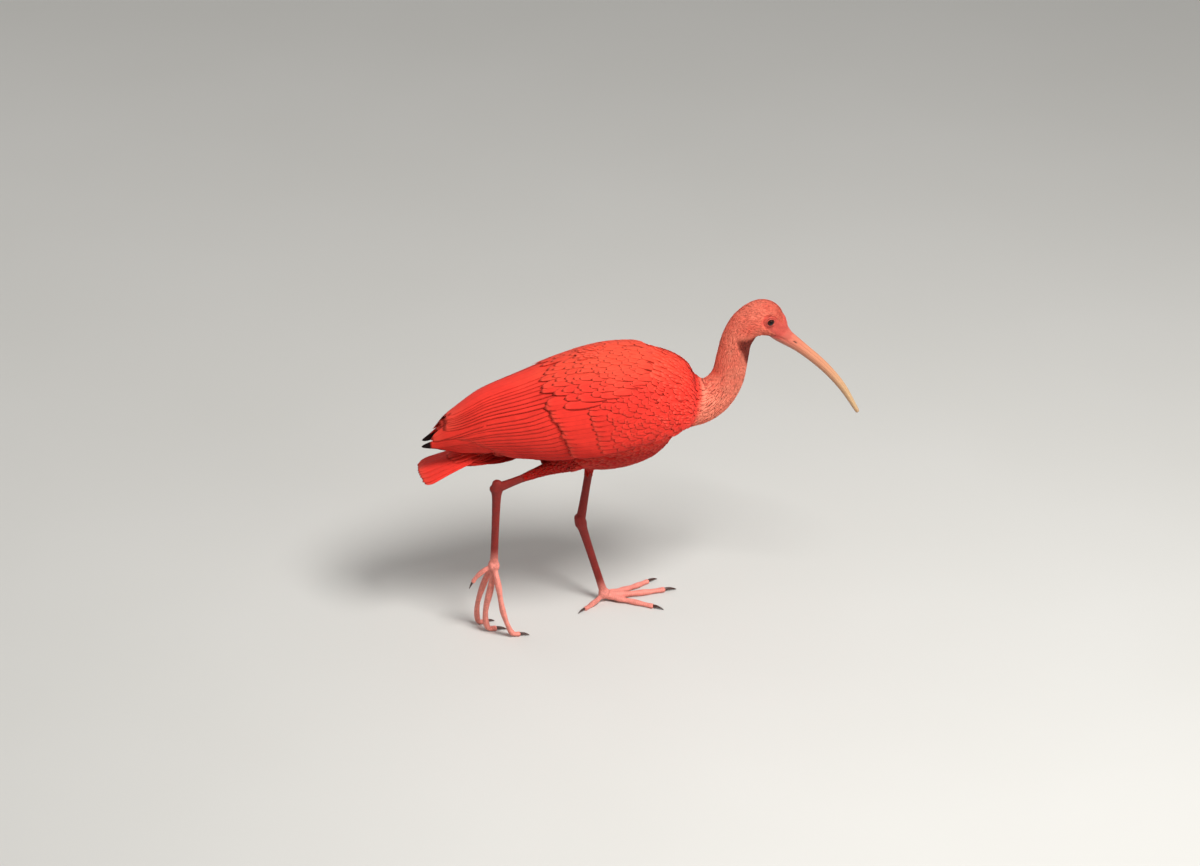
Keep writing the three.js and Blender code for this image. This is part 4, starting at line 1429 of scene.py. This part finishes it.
class IBIS_OT_mantle_feathers(bpy.types.Operator):
    """Lays the feathers that run from the neck over the shoulders"""

    bl_idname = "ibis.mantle_feathers"
    bl_label = "Mantle feathers"

    def execute(self, context):
        bm = bmesh.new()
        roll_form(bm, body_form(), 72, 150)
        table = [(x, 0, z, w - 1.3, h - 1.3, h - 1.3) for x, z, w, h in COAT[2:-1]]
        roll_form(bm, Form(table, (8, 10)), 72, 80)
        cover = Cover.over(bm, voxel=3.0, smoothing=14)
        draw = np.random.default_rng(37)
        outside = Form([(x, 0, z, w, h, h) for x, z, w, h in (*COAT[5:-1], *COLLAR)], (2, 2))
        lengths, turns = rows_of_roots(
            outside, 2.0, outside.length - 1.0, draw,
            lambda here: 4.5 - 1.7 * float(eased(here, 70, outside.length)))
        roots, _ = cover.settle(outside.at(lengths, turns))
        angle = np.degrees(abs((turns + np.pi) % (2 * np.pi) - np.pi))
        rear = np.interp(angle, [0, 9, 16, 30, 60, 90, 112, 124],
                         [-4, -4, 30, 42, 60, 70, 80, 200])
        keep = roots[:, 0] > rear
        lengths, turns, roots = lengths[keep], turns[keep], roots[keep]
        f = eased(roots[:, 0], 60, 104)
        plumage = Plumage()
        lay_feathers(plumage, CONTOUR, cover, roots, -outside.row(lengths)[:, 6:9],
                     in_mm("mantle_feather") * (1 - 0.52 * f), 9.2 - 5.2 * f, 1.7 - 0.7 * f,
                     round_map(lengths, outside, turns), draw, 0.55, 2.0, 0.02, stray=0.65)
        finished("mantle_feathers", plumage.mesh(), small_feathers(), "plumage")
        return {"FINISHED"}


# ---------------------------------------------------------------- wings and tail


# Each tier: count, lowest feather's root and tip, highest feather's root and tip (x and degrees),
# width, how deep its roots lie, how proud its ends are, and its tip's shape
WING = {
    "primaries": (9, (-100, 108), (-160, 117), (-114, 84), (-180, 88), 13.5, -5.6, -3.9,
                  dict(tip=0.30, point=1.5, lean=0.05, stack=0.14)),
    "secondaries": (13, (-16, 106), (-104, 117), (-42, 50), (-168, 54), 17.5, -5.6, -3.0,
                    dict(tip=0.17, point=2.2, sweep=2.0, lean=0.036, stack=0.06)),
    "tertials": (8, (-6, 42), (-160, 44), (12, 5), (-156, 6), 18, -4.8, -1.7,
                 dict(tip=0.20, point=1.9, sweep=1.0, lean=0.04, stack=0.12, arch=0.02)),
    "greater_coverts": (14, (16, 105), (-38, 109), (-4, 48), (-62, 49), 12.5, -5.0, -1.0,
                        dict(tip=0.34, point=2.2, rise=0.4, lean=0.03, stack=0.03)),
    "median_coverts": (13, (40, 103), (-8, 106), (22, 46), (-27, 47), 12, -4.8, -0.6,
                       dict(tip=0.42, point=2.1, rise=0.5, lean=0.025, stack=0.025)),
}
# Rows of lesser coverts: how many, feathers in each, first row's tips low and high, step, lengths
LESSER = (11, 12, 8, -12, 6.4, 28, 15)
# Rows of scapulars: count, the tips' x, the row's lowest angle, length and width
SCAPULARS = [(5, -58, 19, 60, 13.5), (6, -48, 30, 56, 13.5),
             (8, -38, 40, 52, 13.5), (8, -29, 39, 48, 13), (8, -20.5, 39, 44, 12.5),
             (8, -12, 38, 40, 12), (9, -4, 38, 36, 11.5), (9, 4, 37, 33, 11), (9, 12, 36, 30, 10.5),
             (9, 20, 36, 28, 10), (9, 28, 35, 26, 9.5), (9, 36, 33, 23, 9)]


class IBIS_OT_wings(bpy.types.Operator):
    """Makes both folded wings, feather by feather"""

    bl_idname = "ibis.wings"
    bl_label = "Wings"

    def execute(self, context):
        for name, side in (("left", 1), ("right", -1)):
            draw = np.random.default_rng(41 if side > 0 else 43)
            flight, coverts = Plumage(), Plumage()
            for tier, (count, *ends, width, sunk, proud, look) in WING.items():
                low_root, low_tip, high_root, high_tip = (np.array(e, float) for e in ends)
                f = np.linspace(0, 1, count)[:, None]
                roots = low_root + (high_root - low_root) * f
                tips = low_tip + (high_tip - low_tip) * f
                tips = tips + draw.normal(0, 1, (count, 2)) * (1.3, 0.35)
                widths = width * draw.uniform(0.95, 1.05, count)
                into, leaf = (coverts, COVERT) if "coverts" in tier else (flight, QUILL)
                lay_on_wing(into, leaf, side, roots, tips, widths, sunk, proud, draw,
                            ink=float(tier == "primaries"), **look)
            rows, count, low_end, high_end, step, longest, shortest = LESSER
            for k in range(rows):
                f = (np.arange(count) + (0.5 if k % 2 else 0.0)) / count
                long = longest + (shortest - longest) * k / (rows - 1)
                ends = low_end + (high_end - low_end) * f + step * k + draw.normal(0, 1.5, count)
                degrees = 104 - 61 * f + draw.normal(0, 0.7, count)
                tips = np.stack([ends, degrees + draw.normal(1.5, 1.6, count)], -1)
                roots = np.stack([ends + long * draw.uniform(0.92, 1.08, count), degrees], -1)
                lay_on_wing(coverts, COVERT, side, roots, tips,
                            (11.6 - 0.25 * k) * draw.uniform(0.94, 1.08, count),
                            -4.4, -0.3 + 0.05 * k, draw, tip=0.55, point=1.9, shaft=0.04, climb=13,
                            rise=0.9, lean=0.015)
            for k, (count, end, top, long, width) in enumerate(SCAPULARS):
                f = (np.arange(count) + (0.5 if k % 2 else 0.0)) / (count - 0.5)
                degrees = 3.5 + (top + 10) * (1 - f) + draw.normal(0, 0.6, count)
                ends = end - 6 * (1 - f) + draw.normal(0, 1.8, count)
                roots = np.stack([ends + long * draw.uniform(0.9, 1.1, count), degrees], -1)
                tips = np.stack([ends, degrees + draw.normal(0.8, 1.4, count)], -1)
                lay_on_wing(coverts, COVERT, side, roots, tips,
                            width * draw.uniform(1.0, 1.14, count), -3.8, 0.01 + 0.045 * k, draw,
                            tip=0.6, point=1.8, shaft=0.06, climb=15, rise=0.9, lean=0.015)
            finished("wing_%s_flight" % name, flight.mesh(), wing_feathers(), "plumage",
                     "wing_" + name)
            finished("wing_%s_coverts" % name, coverts.mesh(), wing_feathers(), "plumage")
            self.arm(name, side)
        return {"FINISHED"}

    def arm(self, name, side):
        """The wing under its feathers: a thin rounded blade on the body's side."""
        bm = bmesh.new()

        def where(u, v):
            x = -142 + 222 * v
            edge = np.interp(x, [-142, -100, -40, 40, 80], [98, 103, 103, 101, 92])
            degrees = 1.6 + (edge - 1.6) * u
            return on_coat(side, x, np.radians(degrees), -4.2)

        shape_grid(bm, 40, 70, where, weld=False)
        bmesh.ops.recalc_face_normals(bm, faces=bm.faces)
        face = max(bm.faces, key=lambda f: f.calc_center_median().z)
        if face.normal.z < 0:
            bmesh.ops.reverse_faces(bm, faces=bm.faces)
        bmesh.ops.solidify(bm, geom=bm.faces[:], thickness=2.2)
        mesh = smoothed(mesh_from(bm, "arm"))
        note(mesh, "bare", np.zeros(len(mesh.vertices)))
        finished("wing_%s_arm" % name, mesh, ibis_skin(), "plumage")


def lay_tail(plumage, leaf, roots, tips, width, draw, tip, point, bow):
    """Tail feathers from root to tip, each flat across and bowed a little downwards."""
    n = len(roots)
    v, u = leaf.along[None], leaf.across[None]
    run = tips - roots
    length = np.linalg.norm(run, axis=1)
    along = run / length[:, None]
    side = unit(np.cross(np.broadcast_to([0, 0, 1.0], along.shape), along))
    up = np.cross(along, side)
    half = outline(v, tip, point) * width / 2
    across = half * u * (1 + 0.02 * np.sin(9 * v + draw.uniform(0, 6.28, (n, 1))))
    lift = ((1 - u * u) * half * 0.1 - leaf.under[None] * 0.12 + bow * np.sin(np.pi * v)
            + 0.25 * (abs(u) < SHAFT))
    points = (roots[:, None] + run[:, None] * v[..., None] + side[:, None] * across[..., None]
              + up[:, None] * lift[..., None])
    root_map = np.stack([0.1 + (roots[:, 0] + 140) / 60, 0.5 + roots[:, 1] / 60], -1)
    plumage.add(leaf, points, length[:, None] * v, across, draw.uniform(0, 1, n), 0.0, root_map)


# Rows of short feathers over the tail and under it: how many, x of their roots and of their tips,
# height of both in the row's middle, width, how the row curves across, how its feathers are bowed
TAIL_COVERTS = [
    (7, -104, -154, 208.5, 190.8, 14, -1, 1.2), (8, -94, -142, 213, 196.6, 14, -1, 1.4),
    (8, -84, -128, 219, 203, 13, -1, 1.8), (7, -92, -150, 221, 202, 13, -0.9, 1.6),
    (7, -92, -156, 227, 206, 13, -0.8, 2.0), (7, -92, -163, 233, 210.5, 13, -0.7, 2.4),
    (8, -92, -166, 238, 216, 12, -0.6, 2.8), (7, -92, -166, 243, 222, 12, -0.5, 3.0),
    (6, -92, -163, 247, 228.5, 11, -0.5, 3.0), (7, -104, -158, 193.5, 184.6, 14, 1, -1.2),
    (8, -94, -148, 191.5, 185.2, 14, 1, -2.0), (8, -84, -132, 190, 186.6, 13, 1, -2.6),
]


class IBIS_OT_tail(bpy.types.Operator):
    """Makes the tail: twelve long feathers, and short ones over and under their roots"""

    bl_idname = "ibis.tail"
    bl_label = "Tail"

    def execute(self, context):
        draw = np.random.default_rng(53)
        plumage = Plumage()
        column = np.arange(12) - 5.5
        order = abs(column)
        roots = np.stack([-116 + 0 * column, 1.4 * column, 200.5 - 0.35 * order], -1)
        tips = np.stack([-184 + 0.13 * column**2, 3.9 * column, 177.8 - 0.5 * order], -1)
        tips = tips + draw.normal(0, 1, (12, 3)) * (0.4, 0.3, 0.15)
        lay_tail(plumage, QUILL, roots, tips, 15.5, draw, 0.16, 2.3, 1.2)
        for count, x0, x1, z0, z1, width, cup, bow in TAIL_COVERTS:
            c = np.arange(count) - (count - 1) / 2
            roots = np.stack([x0 + 0.5 * c * c, 2.6 * c, z0 + cup * 0.45 * c * c], -1)
            tips = np.stack([x1 + 0.8 * c * c, 4.1 * c, z1 + cup * 0.40 * c * c], -1)
            tips = tips + draw.normal(0, 1, (count, 3)) * (1.2, 0.5, 0.25)
            lay_tail(plumage, COVERT, roots, tips, width, draw, 0.42, 2.2, bow)
        finished("tail_feathers", plumage.mesh(), wing_feathers(), "plumage", "tail")
        return {"FINISHED"}


# ---------------------------------------------------------------- stage


# Lamps: name, place from the bird's middle, width, power
LAMPS = (("overhead", (0.50, -0.85, 1.58), 0.70, 38.0), ("front_fill", (1.5, -1.9, 1.0), 1.6, 13.0),
         ("back_fill", (-1.6, 1.2, 1.1), 1.6, 7.0))
# The camera: degrees round the bird, degrees up, distance in metres, lens in millimetres
CAMERA = (-9, 29, 5.0, 150.0)
AIM = (0, 0, 205.8)  # what the lamps and the camera are turned to
DAYLIGHT = 0.31  # how strong the light from all sides is
FLOOR_RADIUS = 6.0


class IBIS_OT_stage(bpy.types.Operator):
    """Sets the pale floor, the soft studio light and the camera"""

    bl_idname = "ibis.stage"
    bl_label = "Stage"

    def execute(self, context):
        scene = context.scene
        bm = bmesh.new()
        bmesh.ops.create_circle(bm, cap_ends=True, segments=96, radius=FLOOR_RADIUS)
        floor = placed("floor", mesh_from(bm, "floor"))
        f = Finish("pale_floor", roughness=0.7, specular_ior_level=0.3)
        shades = [(*linear(*shade), 1.0) for shade in ((204, 202, 196), (210, 208, 203))]
        floor.data.materials.append(f.colour(f.blend(f.grain(3.0, 2.0), *shades)))
        floor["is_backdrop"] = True

        world = bpy.data.worlds.new("studio")
        world.use_nodes = True
        sky = world.node_tree.nodes["Background"].inputs
        sky["Color"].default_value, sky["Strength"].default_value = (1, 1, 1, 1), DAYLIGHT
        scene.world = world
        target = np.array(AIM) * MM + SHIFT
        for name, place, size, power in LAMPS:
            light = bpy.data.lights.new(name, "AREA")
            light.energy, light.size, light.shape = power, size, "DISK"
            lamp = placed(name, light)
            lamp.location = target + np.array(place)
            lamp.rotation_euler = Vector(-np.array(place)).to_track_quat("-Z", "Y").to_euler()

        azimuth, lift, away, focus = CAMERA
        azimuth, lift = math.radians(azimuth), math.radians(lift)
        lens = bpy.data.cameras.new("camera")
        lens.sensor_width, lens.lens = 36.0, focus
        camera = placed("camera", lens)
        back = Vector((math.sin(azimuth) * math.cos(lift), -math.cos(azimuth) * math.cos(lift),
                       math.sin(lift)))
        camera.location = Vector(target) + back * away
        camera.rotation_euler = back.to_track_quat("Z", "Y").to_euler()
        scene.camera = camera
        scene.view_settings.view_transform = "Standard"
        return {"FINISHED"}


class IBIS_PT_panel(bpy.types.Panel):
    """Lists the pieces of the bird, with their sizes and colours"""

    bl_idname = "IBIS_PT_panel"
    bl_label = "Scarlet ibis"
    bl_space_type = "VIEW_3D"
    bl_region_type = "UI"
    bl_category = "Ibis"

    def draw(self, context):
        column = self.layout.column(align=True)
        for step in STEPS:
            column.operator(step.bl_idname)
        for group in (context.scene.ibis_sizes, context.scene.ibis_colours):
            box = self.layout.box()
            for name in group.bl_rna.properties.keys():
                if name not in ("rna_type", "name"):
                    box.prop(group, name)


STEPS = (IBIS_OT_stage, IBIS_OT_skin, IBIS_OT_eyes, IBIS_OT_bill, IBIS_OT_legs, IBIS_OT_claws,
         IBIS_OT_body_feathers, IBIS_OT_thigh_feathers, IBIS_OT_wings, IBIS_OT_mantle_feathers,
         IBIS_OT_tail)
CLASSES = (IbisSizes, IbisColours, *STEPS, IBIS_PT_panel)


def register():
    for cls in CLASSES:
        bpy.utils.register_class(cls)
    bpy.types.Scene.ibis_sizes = bpy.props.PointerProperty(type=IbisSizes)
    bpy.types.Scene.ibis_colours = bpy.props.PointerProperty(type=IbisColours)


def unregister():
    del bpy.types.Scene.ibis_colours, bpy.types.Scene.ibis_sizes
    for cls in reversed(CLASSES):
        bpy.utils.unregister_class(cls)


def main():
    register()
    for step in STEPS:
        group, name = step.bl_idname.split(".")
        if getattr(getattr(bpy.ops, group), name)() != {"FINISHED"}:
            raise RuntimeError(step.bl_label + " could not be made")
    boxes = {"cad": CAD_BOX, "visual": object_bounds()}
    {name: [list(low), list(high)] for name, (low, high) in boxes.items()}


if __name__ == "__main__":
    main()
